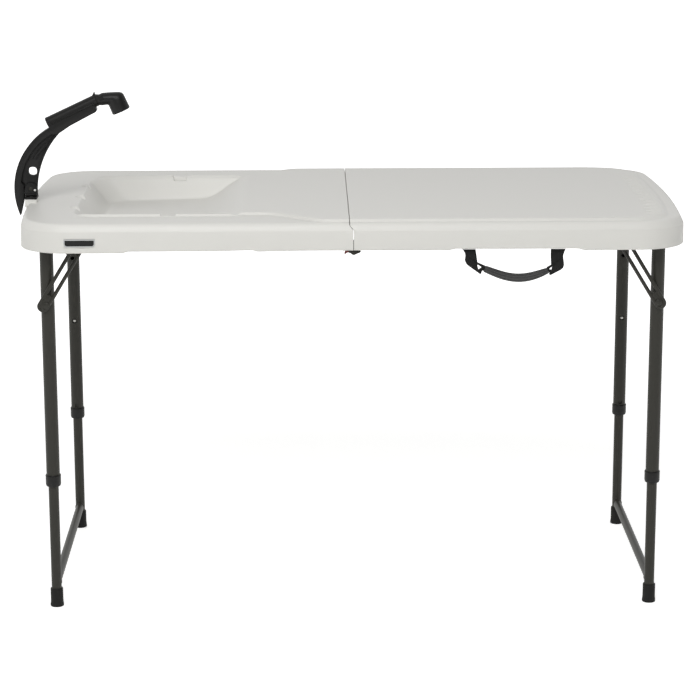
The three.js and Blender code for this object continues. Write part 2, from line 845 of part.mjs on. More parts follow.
function brace_rivet(end, side) {
  const wall_inside = leg_y + upper_tube_diameter / 2 - upper_tube_wall;
  const tail = side * (wall_inside - fit_gap);
  const near = leg_y + upper_tube_diameter / 2 + brace_side_gap;
  const head_start = side * (near + Math.max(brace_lug_thickness, 2 * brace_rod_radius) + fit_gap);
  const head_end = head_start + side * brace_rivet_head_height;
  const shank = bar_along_y(end * leg_x, brace_pivot_z, brace_rivet_radius,
    Math.min(tail, head_end), Math.max(tail, head_end), hole_sides);
  const head = bar_along_y(end * leg_x, brace_pivot_z, brace_rivet_head_radius,
    Math.min(head_start, head_end), Math.max(head_start, head_end));
  return joined(shank, head);
}

// Tap arm

function arm_pivot_x() {
  return -(half_length - arm_pivot_inset);
}

function arm_pivot_z() {
  return rim_z + boss_height + arm_pivot_rise;
}

function arm_centre() {
  return { x: -(half_length + tap_overhang - arm_outer_radius), z: rim_z + arm_centre_rise };
}

function tube_axis() {
  const turn = THREE.MathUtils.degToRad(tube_tilt_deg);
  const along = new THREE.Vector3(Math.cos(turn), 0, Math.sin(turn));
  const start = new THREE.Vector3(-(half_length - tap_tube_start_x), tap_y, rim_z + tap_tube_start_rise);
  return { along, start, end: start.clone().addScaledVector(along, tap_tube_length) };
}

function disc_along_y(x, z, radius, thickness, sides) {
  return bar_along_y(x, z, radius, tap_y - thickness / 2, tap_y + thickness / 2, sides);
}

// The space between the arm's outer and inner arcs, over a height range
function arm_crescent(outer_in, inner_out, thickness) {
  const { x, z } = arm_centre();
  const outer = disc_along_y(x, z, arm_outer_radius - outer_in, thickness, arc_sides);
  const inner = disc_along_y(x + arm_inner_shift, z - arm_inner_drop, arm_inner_radius + inner_out,
    thickness + cut_overrun, arc_sides);
  return cut(outer, inner);
}

// Part of the arm above the pivot, up to the start of the tube
function arm_window(low_z) {
  const { start, end } = tube_axis();
  const x_low = -(half_length + 2 * tap_overhang);
  const shape = outline([
    [x_low, low_z], [arm_pivot_x() + arm_pivot_radius + arm_thickness, low_z],
    [start.x + arm_thickness, start.z], [start.x, start.z + arm_thickness], [x_low, end.z]]);
  return slab_along_y(shape, tap_y - arm_thickness, tap_y + arm_thickness);
}

function arm_hook() {
  const { x, z } = arm_centre();
  const tip_z = z - arm_hook_drop;
  const tip_x = x - Math.sqrt(arm_outer_radius ** 2 - arm_hook_drop ** 2);
  const join_z = arm_pivot_z() + arm_pivot_radius;
  const join_x = x - Math.sqrt(arm_outer_radius ** 2 - (join_z - z) ** 2);
  const inner_x = arm_pivot_x() - arm_pivot_radius - 2 * fit_gap;
  const shape = new THREE.Shape();
  shape.moveTo(inner_x, join_z);
  shape.lineTo(join_x, join_z);
  const from = Math.atan2(join_z - z, join_x - x);
  const to = Math.atan2(tip_z - z, tip_x - x);
  shape.absarc(x, z, arm_outer_radius, from, to + 2 * Math.PI, false);
  shape.lineTo(inner_x, z - arm_hook_in);
  return slab_along_y(shape, tap_y - arm_thickness / 2, tap_y + arm_thickness / 2);
}

function saddle() {
  const { along, start, end } = tube_axis();
  const up = new THREE.Vector3(-along.z, 0, along.x);
  const corner = (p, down) => {
    const q = p.clone().addScaledVector(up, -down);
    return [q.x, q.z];
  };
  const foot_in = start.clone().addScaledVector(along, arm_thickness);
  const shape = outline([corner(start, 0), corner(start, tap_tube_radius + fit_gap * 2),
    corner(foot_in, saddle_depth_start), corner(end, saddle_depth_end), corner(end, 0)]);
  return slab_along_y(shape, tap_y - arm_thickness / 2, tap_y + arm_thickness / 2);
}

function tube_bore_cutter() {
  const { along, start, end } = tube_axis();
  return bar_between(start.clone().addScaledVector(along, -arm_thickness),
    end.clone().addScaledVector(along, arm_thickness), tap_tube_radius + fit_gap, tube_sides);
}

function tap_arm() {
  const pivot_x = arm_pivot_x();
  const pivot_height = arm_pivot_z();
  const web = common(arm_crescent(0, 0, arm_web_thickness), arm_window(pivot_height));
  const band = common(cut(arm_crescent(0, 0, arm_thickness), arm_inner_of_band()),
    arm_window(pivot_height + arm_pivot_radius));
  const flange = common(cut(arm_crescent(0, 0, arm_thickness), arm_outer_of_flange()),
    arm_window(pivot_height + 2 * arm_pivot_radius));
  const lobe = disc_along_y(pivot_x, pivot_height, arm_pivot_radius, arm_web_thickness, tube_sides);
  const body = joined(web, band, flange, lobe, arm_hook(), saddle());
  const pin_hole = disc_along_y(pivot_x, pivot_height, arm_pin_radius + fit_gap, arm_thickness * 2, small_sides);
  const cable_hole = disc_along_y(pivot_x + arm_flange_width, pivot_height + arm_cable_hole_rise,
    arm_cable_hole_radius, arm_thickness * 2, tube_sides);
  return cut(body, pin_hole, cable_hole, tube_bore_cutter());
}

// Cutters that leave only the arm's outer band or its thin inner flange
function arm_inner_of_band() {
  const { x, z } = arm_centre();
  return disc_along_y(x, z, arm_outer_radius - arm_band_width, arm_thickness * 2, arc_sides);
}

function arm_outer_of_flange() {
  const { x, z } = arm_centre();
  const far = arm_thickness * 2;
  const ring = disc_along_y(x, z, arm_outer_radius + cut_overrun, far, arc_sides);
  return cut(ring, disc_along_y(x + arm_inner_shift, z - arm_inner_drop, arm_inner_radius + arm_flange_width,
    far + cut_overrun, arc_sides));
}

function tap_bracket() {
  const x = arm_pivot_x();
  const z = arm_pivot_z();
  const base_low = rim_z + boss_height + fit_gap;
  const base_high = base_low + bracket_base_height;
  const half_x = bracket_base_length / 2 - arm_pivot_inset / 2;
  const half_y = bracket_base_width / 2;
  const base = block(x - half_x, x + half_x, tap_y - half_y, tap_y + half_y, base_low, base_high);
  const cheek_radius = arm_pivot_radius - 1.5 * fit_gap;
  const cheeks = [-1, 1].map((side) => {
    const inner = tap_y + side * (arm_web_thickness / 2 + fit_gap);
    const outer = inner + side * bracket_cheek;
    const y_low = Math.min(inner, outer);
    const y_high = Math.max(inner, outer);
    return joined(bar_along_y(x, z, cheek_radius, y_low, y_high, tube_sides),
      block(x - cheek_radius, x + cheek_radius, y_low, y_high, base_low, z));
  });
  const pin_hole = disc_along_y(x, z, arm_pin_radius + fit_gap, arm_thickness * 2, small_sides);
  return cut(joined(base, ...cheeks), pin_hole);
}

function arm_pin() {
  const reach = arm_web_thickness / 2 + fit_gap + bracket_cheek + fit_gap;
  const x = arm_pivot_x();
  const z = arm_pivot_z();
  const heads = [-1, 1].map((side) => {
    const start = tap_y + side * reach;
    const end = start + side * pin_head_height;
    return bar_along_y(x, z, arm_pin_radius * 2, Math.min(start, end), Math.max(start, end));
  });
  return joined(disc_along_y(x, z, arm_pin_radius, 2 * reach + pin_head_height, small_sides), ...heads);
}

function tap_tube() {
  const { along, start, end } = tube_axis();
  const far_start = start.clone().addScaledVector(along, -cut_overrun);
  const far_end = end.clone().addScaledVector(along, cut_overrun);
  const outside = bar_between(start, end, tap_tube_radius, tube_sides);
  return cut(outside, bar_between(far_start, far_end, tap_tube_bore, tube_sides));
}

function elbow_point() {
  const { along, end } = tube_axis();
  const flat = THREE.MathUtils.degToRad(tube_tilt_deg / 3);
  const neck = new THREE.Vector3(Math.cos(flat), 0, Math.sin(flat));
  const neck_start = end.clone().addScaledVector(along, fit_gap);
  return { neck_start, elbow: neck_start.clone().addScaledVector(neck, head_neck_length) };
}

function spout_axis() {
  const down = THREE.MathUtils.degToRad(head_spout_tilt_deg);
  return new THREE.Vector3(Math.cos(down), 0, -Math.sin(down));
}

function tap_head() {
  const { along } = tube_axis();
  const { neck_start, elbow } = elbow_point();
  const spout = spout_axis();
  const outlet = elbow.clone().addScaledVector(spout, head_spout_length);
  const neck_root = neck_start.clone().addScaledVector(along, head_neck_length / 2);
  const collar_bar = bar_between(neck_start, neck_root, head_neck_radius, tube_sides);
  const neck = bar_between(neck_start.clone().addScaledVector(along, head_neck_length / 4), elbow,
    head_neck_radius, tube_sides, head_neck_radius + fit_gap);
  const ball = new THREE.SphereGeometry(head_neck_radius + 2 * fit_gap, tube_sides, hole_sides);
  ball.translate(elbow.x, elbow.y, elbow.z);
  const spout_body = bar_between(elbow, outlet, head_neck_radius, tube_sides, head_spout_radius);
  const inlet = bar_between(neck_start.clone().addScaledVector(along, -cut_overrun), elbow, head_bore, small_sides);
  const way_out = bar_between(elbow, outlet.clone().addScaledVector(spout, cut_overrun), head_bore, small_sides);
  const face_seat = outlet.clone().addScaledVector(spout, -spray_face_thickness - spray_face_inset);
  const seat_radius = head_spout_radius - spray_face_inset;
  const seat = bar_between(face_seat, outlet.clone().addScaledVector(spout, cut_overrun), seat_radius, tube_sides);
  return cut(joined(collar_bar, neck, ball, spout_body), inlet, way_out, seat);
}

function spray_face() {
  const { elbow } = elbow_point();
  const spout = spout_axis();
  const outlet = elbow.clone().addScaledVector(spout, head_spout_length);
  const low = outlet.clone().addScaledVector(spout, fit_gap - spray_face_thickness - spray_face_inset);
  const high = low.clone().addScaledVector(spout, spray_face_thickness);
  const radius = head_spout_radius - spray_face_inset - fit_gap;
  const disc = bar_between(low, high, radius, tube_sides);
  const side = new THREE.Vector3().crossVectors(spout, new THREE.Vector3(0, 1, 0));
  const holes = steps_to(spray_hole_count).slice(1).map((t) => {
    const turn = t * 2 * Math.PI;
    const shift = side.clone().multiplyScalar(Math.cos(turn) * radius / 2);
    shift.y += Math.sin(turn) * radius / 2;
    const from = low.clone().add(shift).addScaledVector(spout, -cut_overrun);
    const to = high.clone().add(shift).addScaledVector(spout, cut_overrun);
    return bar_between(from, to, spray_hole_radius, hole_sides);
  });
  return cut(disc, ...holes);
}

// Thumb lever standing on the end of the tube
function thumb_lever() {
  const { along, end } = tube_axis();
  const up = new THREE.Vector3(-along.z, 0, along.x);
  const root = end.clone().addScaledVector(along, -lever_pivot_radius)
    .addScaledVector(up, tap_tube_radius + fit_gap + lever_pivot_radius);
  const tip = root.clone().addScaledVector(up, lever_length / 2).addScaledVector(along, -lever_length / 2);
  const half = lever_width / 2;
  const barrel = bar_along_y(root.x, root.z, lever_pivot_radius, tap_y - half, tap_y + half);
  const blade_dir = tip.clone().sub(root).normalize();
  const normal = new THREE.Vector3(-blade_dir.z, 0, blade_dir.x).multiplyScalar(lever_thickness / 2);
  const shape = outline([root.clone().add(normal), tip.clone().add(normal), tip.clone().sub(normal),
    root.clone().sub(normal)].map((p) => [p.x, p.z]));
  return joined(barrel, slab_along_y(shape, tap_y - half, tap_y + half));
}

// Carry handle

function strap_y() {
  return -(half_depth - skirt_wall - fit_gap - strap_thickness / 2);
}

function strap_pivot_z() {
  return skirt_z - strap_pivot_below_skirt;
}

// The sewn-in end above each strap starts where the strap's upper corners sweep clear of it
function strap_anchor(x) {
  const low = strap_pivot_z() + strap_thickness / Math.SQRT2 + fit_gap;
  const y = strap_y();
  return block(x - strap_width / 2, x + strap_width / 2, y - strap_thickness / 2, y + strap_thickness / 2,
    low, low + strap_anchor_height);
}

// The webbing hangs down, folds over on the slant and runs on towards the grip. Each point is a
// share of the strap's half width or of its reach towards the grip, and a share of its drop.
const strap_side_shares = [[1, 0], [0.72, 0.15], [0.8, 0.5], [0.62, 0.62]];
const strap_tip_shares = [[0.9, 1], [1, 0.86], [1, 0.62]];
const strap_eye_shares = [[0.6, 0.58], [0.86, 0.72], [0.64, 0.74]];

function handle_strap(x, toward) {
  const top = strap_pivot_z() + strap_thickness / 2;
  const half = strap_width / 2;
  const outer = strap_side_shares.map(([w, d]) => [x - toward * w * half, top - d * strap_drop]);
  const tip = strap_tip_shares.map(([w, d]) => [x + toward * w * strap_reach, top - d * strap_drop]);
  const inner = [[x + toward * half, top - strap_drop / 2], [x + toward * half, top]];
  const shape = outline([...outer, ...tip, ...inner]);
  const eye = strap_eye_shares.map(([w, d]) => [x + toward * w * strap_reach, top - d * strap_drop]);
  shape.holes.push(outline(eye));
  return slab_along_y(shape, strap_y() - strap_thickness / 2, strap_y() + strap_thickness / 2);
}

// The grip hangs from the tips of the straps, its ends just clear of them
function grip_curve() {
  const y = strap_y();
  const middle = (strap_left_x + strap_right_x) / 2;
  const half_span = (strap_right_x - strap_left_x) / 2 - strap_reach - fit_gap;
  const lean = Math.atan2(2 * grip_sag, half_span);
  const reach = half_span - grip_end_diameter / 2 * Math.sin(lean);
  const high = strap_pivot_z() - strap_drop + grip_end_rise + strap_thickness;
  return new THREE.QuadraticBezierCurve3(new THREE.Vector3(middle - reach, y, high),
    new THREE.Vector3(middle, y, high - 2 * grip_sag), new THREE.Vector3(middle + reach, y, high));
}

// The grip is thickest in its middle and tapers to its ends
function handle_grip() {
  const curve = grip_curve();
  const rings = steps_to(grip_stations).map((t) => {
    const centre = curve.getPoint(t);
    const tangent = curve.getTangent(t);
    const up = new THREE.Vector3(-tangent.z, 0, tangent.x);
    const swell = Math.sqrt(Math.sin(Math.PI * t));
    const radius = (grip_end_diameter + (grip_diameter - grip_end_diameter) * swell) / 2;
    return steps_to(small_sides).slice(1).map((s) => {
      const turn = s * 2 * Math.PI;
      const point = centre.clone().addScaledVector(up, radius * Math.sin(turn));
      point.y += radius * Math.cos(turn);
      return point;
    });
  });
  return ring_body(rings);
}

// A closed body through rings whose end caps are fans round their first point
function ring_body(rings) {
  const size = rings[0].length;
  const positions = rings.flat().flatMap((p) => [p.x, p.y, p.z]);
  const index = [];
  for (let r = 0; r + 1 < rings.length; r++) {
    for (let i = 0; i < size; i++) {
      const j = (i + 1) % size;
      index.push(r * size + i, r * size + j, (r + 1) * size + j, r * size + i, (r + 1) * size + j, (r + 1) * size + i);
    }
  }
  const last = (rings.length - 1) * size;
  for (let i = 1; i + 1 < size; i++) index.push(0, i + 1, i, last, last + i, last + i + 1);
  const geometry = new THREE.BufferGeometry();
  geometry.setAttribute('position', new THREE.BufferAttribute(new Float32Array(positions), 3));
  geometry.setIndex(index);
  return geometry;
}

// Materials, and the table put together

const finishes = {
  top: new THREE.MeshStandardMaterial({ color: 0xd9d8d2, roughness: 0.55, metalness: 0 }),
  steel: new THREE.MeshStandardMaterial({ color: 0x3b3a35, roughness: 0.5, metalness: 0.3 }),
  bright: new THREE.MeshStandardMaterial({ color: 0xb9b9b5, roughness: 0.35, metalness: 1 }),
  plastic: new THREE.MeshStandardMaterial({ color: 0x232321, roughness: 0.5, metalness: 0 }),
  rubber: new THREE.MeshStandardMaterial({ color: 0x1b1b1a, roughness: 0.8, metalness: 0 }),
  webbing: new THREE.MeshStandardMaterial({ color: 0x1e1e1e, roughness: 0.9, metalness: 0 }),
  red: new THREE.MeshStandardMaterial({ color: 0xb3362c, roughness: 0.5, metalness: 0 }),
};

const table = new THREE.Group();

function add(name, geometry, finish) {
  const mesh = new THREE.Mesh(geometry, finishes[finish]);
  mesh.name = name;
  table.add(mesh);
}

const ends = [['left', -1], ['right', 1]];
const sides = [['front', -1], ['back', 1]];

add('left_top', left_top(), 'top');
add('right_top', right_top(), 'top');
add('drain_fitting', drain_fitting(), 'plastic');
add('drain_nut', drain_nut(), 'plastic');
add('drain_plug', drain_plug(), 'rubber');

for (const [side_name, side] of sides) {
  for (const [end_name, end] of ends) add(`${end_name}_${side_name}_rail`, rail(end, side), 'steel');
  add(`${side_name}_hinge_pin`, hinge_pin(side), 'bright');
}
add('latch_lever', latch_lever(), 'plastic');
add('latch_grip', latch_grip(), 'red');
add('latch_pin', latch_pin(), 'bright');

for (const [end_name, end] of ends) {
  const x = end * leg_x;
  add(`${end_name}_pivot_rod`, pivot_rod(x), 'steel');
  add(`${end_name}_crossbar`, crossbar(x), 'steel');
  for (const [side_name, side] of sides) {
    const y = side * leg_y;
    const corner = `${end_name}_${side_name}`;
    add(`${corner}_upper_tube`, upper_tube(x, y), 'steel');
    add(`${corner}_lower_tube`, lower_tube(x, y), 'steel');
    add(`${corner}_collar`, collar(x, y), 'plastic');
    add(`${corner}_foot`, foot(x, y), 'rubber');
    add(`${corner}_button`, spring_button(x, y), 'bright');
    add(`${corner}_brace`, brace(end, side), 'steel');
    add(`${corner}_rivet`, brace_rivet(end, side), 'steel');
  }
}

add('tap_bracket', tap_bracket(), 'plastic');
add('arm_pin', arm_pin(), 'bright');
add('tap_arm', tap_arm(), 'plastic');
add('tap_tube', tap_tube(), 'plastic');
add('tap_head', tap_head(), 'plastic');
add('spray_face', spray_face(), 'bright');
add('thumb_lever', thumb_lever(), 'plastic');

add('left_strap_anchor', strap_anchor(strap_left_x), 'webbing');
add('right_strap_anchor', strap_anchor(strap_right_x), 'webbing');
add('left_handle_strap', handle_strap(strap_left_x, 1), 'webbing');
add('right_handle_strap', handle_strap(strap_right_x, -1), 'webbing');
add('handle_grip', handle_grip(), 'rubber');

// The tap hangs over the left end, so the origin is moved to the middle of the whole outline
table.position.x = tap_overhang / 2;

export default table;
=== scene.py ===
# %% [markdown]
# # Folding fish cleaning table
# A folding camp table for cleaning fish: a two-part blow-moulded top with a sink and a ramp in its
# left half, a swing-down tap arm, folding telescoping steel legs and a carry handle.
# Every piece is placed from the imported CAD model, the frame, and rides on one of its bodies.

# %% Load the frame
import math
import bmesh
import bpy
import numpy as np
from mathutils import Matrix, Vector


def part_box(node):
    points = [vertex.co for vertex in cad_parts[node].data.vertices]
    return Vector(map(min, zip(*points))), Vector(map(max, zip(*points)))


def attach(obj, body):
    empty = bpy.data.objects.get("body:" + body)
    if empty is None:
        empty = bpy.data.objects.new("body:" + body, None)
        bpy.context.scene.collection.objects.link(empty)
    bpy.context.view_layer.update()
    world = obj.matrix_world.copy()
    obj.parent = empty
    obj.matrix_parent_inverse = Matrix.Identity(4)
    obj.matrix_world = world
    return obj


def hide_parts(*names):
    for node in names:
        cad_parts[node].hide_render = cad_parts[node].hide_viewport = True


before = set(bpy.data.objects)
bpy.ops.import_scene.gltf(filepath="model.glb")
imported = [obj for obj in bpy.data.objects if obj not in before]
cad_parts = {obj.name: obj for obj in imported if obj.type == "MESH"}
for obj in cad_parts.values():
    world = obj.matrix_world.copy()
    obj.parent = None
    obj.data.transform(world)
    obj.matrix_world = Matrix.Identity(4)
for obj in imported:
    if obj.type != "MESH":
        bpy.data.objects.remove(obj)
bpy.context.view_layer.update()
MM = 0.001

# %% [markdown]
# The camera comes first. Its place was worked out from the photograph, so each piece can be
# compared with it at once: a long lens from 4.6 m away, a little left of the middle, looking down.

# %% Camera
CAMERA_PLACE = Vector((-0.0715, -4.5580, 1.5278))
CAMERA_YAW = 0.0173
CAMERA_PITCH = 0.2356
CAMERA_ROLL = -0.0017
CAMERA_LENS = 123.78
CAMERA_SENSOR = 36.0
CAMERA_CLIP_END = 60.0

camera_data = bpy.data.cameras.new("camera")
camera_data.lens = CAMERA_LENS
camera_data.sensor_width = CAMERA_SENSOR
camera_data.clip_end = CAMERA_CLIP_END
camera = bpy.data.objects.new("camera", camera_data)
bpy.context.scene.collection.objects.link(camera)
turn = Matrix.Rotation(-CAMERA_YAW, 4, "Z") @ Matrix.Rotation(math.pi / 2 - CAMERA_PITCH, 4, "X")
camera.matrix_world = Matrix.Translation(CAMERA_PLACE) @ turn @ Matrix.Rotation(CAMERA_ROLL, 4, "Z")
bpy.context.scene.camera = camera
print("camera", [round(v, 3) for v in CAMERA_PLACE], "lens", CAMERA_LENS)

# %% [markdown]
# Places that several pieces share are read from the frame here: the middle line of the hinge, the
# heights of the top and the middles of the legs.

# %% Places read from the frame
ENDS = (("left", -1), ("right", 1))
SIDES = (("front", -1), ("back", 1))


def middle_of(node):
    """The middle of a node's box in the frame."""
    low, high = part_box(node)
    return (low + high) / 2


top_low, top_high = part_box("right_top")
SKIRT_Z = top_low.z
WORK_Z = top_high.z
HALF_DEPTH = top_high.y
HINGE_X = middle_of("front_hinge_pin").x
HALF_LENGTH = top_high.x - HINGE_X
print("half length", round(HALF_LENGTH, 4), "half depth", round(HALF_DEPTH, 4))
print("working height", round(WORK_Z, 4), "hinge at X", round(HINGE_X, 4))

# %% [markdown]
# Helpers that make meshes: a grid of points becomes quads, a profile is turned round an axis, a
# section is swept along a path, and an outline becomes a plate with rounded edges.

# %% Mesh helpers
SMOOTH_ANGLE = 35
made = []


def finish_piece(obj, body, nodes=(), material=None):
    """Puts a piece into the scene, on its body and in place of its nodes."""
    bpy.context.scene.collection.objects.link(obj)
    if material:
        obj.data.materials.append(material)
    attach(obj, body)
    if nodes:
        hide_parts(*nodes)
    made.append(obj.name)
    return obj


def print_made(title):
    """Prints the pieces that were finished since the last call."""
    print(title, len(made), "pieces:", ", ".join(made))
    made.clear()


def mesh_object(name, points, faces, smooth_angle=SMOOTH_ANGLE):
    """An object from points and faces, shaded smooth but for edges sharper than the angle."""
    mesh = bpy.data.meshes.new(name)
    mesh.from_pydata([tuple(p) for p in points], [], faces)
    mesh.update()
    soften(mesh, smooth_angle)
    return bpy.data.objects.new(name, mesh)


def soften(mesh, smooth_angle):
    """Joins doubled points, turns all faces outward and shades the mesh smooth."""
    work = bmesh.new()
    work.from_mesh(mesh)
    bmesh.ops.remove_doubles(work, verts=work.verts, dist=1e-6)
    bmesh.ops.recalc_face_normals(work, faces=work.faces)
    work.to_mesh(mesh)
    work.free()
    mesh.shade_smooth()
    mesh.set_sharp_from_angle(angle=math.radians(smooth_angle))


def sheet_faces(rows, columns, start=0, closed=False):
    """Quads between rows of points. A closed sheet joins each row's last point to its first."""
    faces = []
    last = columns if closed else columns - 1
    for r in range(rows - 1):
        for c in range(last):
            d = (c + 1) % columns
            low = start + r * columns
            high = low + columns
            faces.append((low + c, low + d, high + d, high + c))
    return faces


def axes_along(direction):
    """A direction as a unit vector, and two more at right angles to it."""
    along = Vector(direction).normalized()
    helper = Vector((0, 1, 0)) if abs(along.y) < 0.9 else Vector((1, 0, 0))
    side = along.cross(helper).normalized()
    return along, side, along.cross(side)


def turned(name, start, direction, profile, sides=48, smooth_angle=SMOOTH_ANGLE):
    """A turned piece. The profile is pairs of radius and distance along the axis."""
    along, side, up = axes_along(direction)
    points = []
    for radius, distance in profile:
        for s in range(sides):
            angle = 2 * math.pi * s / sides
            across = side * math.cos(angle) + up * math.sin(angle)
            points.append(Vector(start) + along * distance + across * radius)
    faces = sheet_faces(len(profile), sides, closed=True)
    return mesh_object(name, points, faces, smooth_angle)


def swept(name, path, section, smooth_angle=SMOOTH_ANGLE):
    """A closed section of (across, out) pairs moved along a path that keeps its Y. The section may
    be a function of the share of the path."""
    out = Vector((0, 1, 0))
    path = [Vector(p) for p in path]
    points = []
    for i, p in enumerate(path):
        ahead = path[min(i + 1, len(path) - 1)] - path[max(i - 1, 0)]
        across = ahead.normalized().cross(out).normalized()
        shape = section(i / (len(path) - 1)) if callable(section) else section
        points += [p + across * a + out * b for a, b in shape]
    size = len(points) // len(path)
    faces = sheet_faces(len(path), size, closed=True)
    faces.append(tuple(range(size)))
    faces.append(tuple(range(len(points) - size, len(points))))
    return mesh_object(name, points, faces, smooth_angle)


def circle(radius, sides=20):
    """A circle's points as pairs, for swept()."""
    steps = [2 * math.pi * s / sides for s in range(sides)]
    return [(radius * math.cos(a), radius * math.sin(a)) for a in steps]


def arc(centre, radius, start, end, count=16):
    """Points of an arc, its first and last one included."""
    steps = np.linspace(start, end, count)
    return [(centre[0] + radius * math.cos(a), centre[1] + radius * math.sin(a)) for a in steps]


def round_hole(x, z, radius, sides=20):
    """The outline of a round hole in a plate."""
    return arc((x, z), radius, 0, 2 * math.pi * (sides - 1) / sides, sides)


def bar_profile(radius, length):
    """The profile of a plain round bar, for turned()."""
    return [(0, 0), (radius, 0), (radius, length), (0, length)]


def in_mm(pairs):
    """Pairs given in millimetres, as metres."""
    return [(a * MM, b * MM) for a, b in pairs]


# Angles in radians: flatter edges are dissolved, sharper ones are rims to be rounded
FLAT_ANGLE = 0.005
RIM_ANGLE = 0.6


def plate(name, outline, y_low, y_high, rounding=0.6 * MM, holes=(), segments=2):
    """An outline drawn in X and Z, made solid from y_low to y_high, its edges rounded."""
    work = bmesh.new()
    loops = [outline, *holes]
    edges = []
    for loop in loops:
        verts = [work.verts.new((x, y_low, z)) for x, z in loop]
        edges += [work.edges.new((verts[i - 1], verts[i])) for i in range(len(verts))]
    bmesh.ops.triangle_fill(work, edges=edges, use_beauty=True, use_dissolve=False)
    flat = list(work.faces)
    grown = bmesh.ops.extrude_face_region(work, geom=flat)
    moved = [g for g in grown["geom"] if isinstance(g, bmesh.types.BMVert)]
    bmesh.ops.translate(work, verts=moved, vec=(0, y_high - y_low, 0))
    bmesh.ops.recalc_face_normals(work, faces=work.faces)
    bmesh.ops.dissolve_limit(work, angle_limit=FLAT_ANGLE, verts=work.verts, edges=work.edges)
    if rounding:
        rims = [e for e in work.edges if len(e.link_faces) == 2 and e.calc_face_angle() > RIM_ANGLE]
        bmesh.ops.bevel(work, geom=rims, offset=rounding, segments=segments, profile=0.5,
                        affect="EDGES", clamp_overlap=True)
    mesh = bpy.data.meshes.new(name)
    work.to_mesh(mesh)
    work.free()
    soften(mesh, SMOOTH_ANGLE)
    return bpy.data.objects.new(name, mesh)


def block(name, low, high, rounding=0.5 * MM):
    """A box from its low to its high corner, its edges rounded."""
    outline = [(low[0], low[2]), (high[0], low[2]), (high[0], high[2]), (low[0], high[2])]
    return plate(name, outline, low[1], high[1], rounding)


def cut_away(obj, *cutters):
    """Takes the cutters' space out of a piece and drops the cutters."""
    bpy.context.scene.collection.objects.link(obj)
    for cutter in cutters:
        bpy.context.scene.collection.objects.link(cutter)
        change = obj.modifiers.new("cut", "BOOLEAN")
        change.object = cutter
        change.solver = "EXACT"
    bpy.context.view_layer.update()
    seen = obj.evaluated_get(bpy.context.evaluated_depsgraph_get())
    mesh = bpy.data.meshes.new_from_object(seen)
    obj.modifiers.clear()
    obj.data = mesh
    mesh.shade_smooth()
    mesh.set_sharp_from_angle(angle=math.radians(SMOOTH_ANGLE))
    bpy.context.scene.collection.objects.unlink(obj)
    for cutter in cutters:
        bpy.data.objects.remove(cutter)
    return obj


print("mesh helpers ready: 1 mm is", MM, "m")


# %% [markdown]
# Materials are procedural and named for the real stuff. One function adds a node with its settings
# and links, and one turns a screen colour such as "#E0DFDA" into the linear value that Blender mixes.

# %% Material helpers
GRAIN_DETAIL = 3.0


def colour(code):
    """The linear colour of a screen colour written in hexadecimal."""
    parts = [int(code[i:i + 2], 16) / 255 for i in (1, 3, 5)]
    linear = [p / 12.92 if p <= 0.04045 else ((p + 0.055) / 1.055) ** 2.4 for p in parts]
    return (*linear, 1.0)


def add_node(material, kind, settings=None, inputs=None, links=None):
    """Adds a shader node. settings are its own properties, inputs are socket values, and links
    join its sockets to the named outputs of other nodes."""
    node = material.node_tree.nodes.new(kind)
    for key, value in (settings or {}).items():
        setattr(node, key, value)
    for key, value in (inputs or {}).items():
        node.inputs[key].default_value = value
    for key, (other, output) in (links or {}).items():
        material.node_tree.links.new(other.outputs[output], node.inputs[key])
    return node


def new_material(name, base, roughness, metallic=0.0, ior=None, specular=None):
    """A Principled material and its shader. A specular level under 0.5 weakens its reflections."""
    material = bpy.data.materials.new(name)
    material.use_nodes = True
    shader = material.node_tree.nodes["Principled BSDF"]
    shader.inputs["Base Color"].default_value = colour(base)
    shader.inputs["Roughness"].default_value = roughness
    shader.inputs["Metallic"].default_value = metallic
    for socket, value in (("IOR", ior), ("Specular IOR Level", specular)):
        if value is not None:
            shader.inputs[socket].default_value = value
    return material, shader


def add_grain(material, shader, size, depth):
    """A fine uneven surface: size is the width of one grain in metres, depth its height."""
    place = add_node(material, "ShaderNodeTexCoord")
    noise = add_node(material, "ShaderNodeTexNoise", inputs={"Scale": 1 / size, "Detail": GRAIN_DETAIL},
                     links={"Vector": (place, "Object")})
    bump = add_node(material, "ShaderNodeBump", inputs={"Strength": 1.0, "Distance": depth},
                    links={"Height": (noise, "Fac")})
    material.node_tree.links.new(bump.outputs["Normal"], shader.inputs["Normal"])
    return noise


def vary_roughness(material, shader, noise, low, high):
    """Lets the roughness follow the grain, from low to high."""
    spread = add_node(material, "ShaderNodeMapRange", inputs={"To Min": low, "To Max": high},
                      links={"Value": (noise, "Fac")})
    material.node_tree.links.new(spread.outputs["Result"], shader.inputs["Roughness"])


print("material helpers ready: half grey is", round(colour("#808080")[0], 3))


# %% [markdown]
# The top is high-density polyethylene, blow-moulded: a pale warm grey with the fine even grain of
# the mould and a soft sheen.

# %% Moulded polyethylene
polyethylene, shader = new_material("Blow moulded polyethylene", "#E0DFDA", 0.45, ior=1.54)
noise = add_grain(polyethylene, shader, size=0.9 * MM, depth=0.03 * MM)
vary_roughness(polyethylene, shader, noise, low=0.40, high=0.52)
print("material", polyethylene.name)

# %% [markdown]
# The legs, rails and braces are steel with a baked powder coat in a dark bronze, which has a slight
# orange-peel surface. The setting buttons and the spray face are zinc-plated, and the bracket's studs
# have a satin nickel plate. The badge's silvery rim is drawn as a pale flat grey, a painted reflection
# in place of metal.

# %% Coated and plated steel
# Less than the usual 0.5, for surfaces whose dust and texture dull their reflections
WEAK_SPECULAR = 0.25

powder_coat, shader = new_material("Powder coated steel", "#33322D", 0.42, ior=1.5, specular=WEAK_SPECULAR)
noise = add_grain(powder_coat, shader, size=1.2 * MM, depth=0.02 * MM)
vary_roughness(powder_coat, shader, noise, low=0.36, high=0.50)

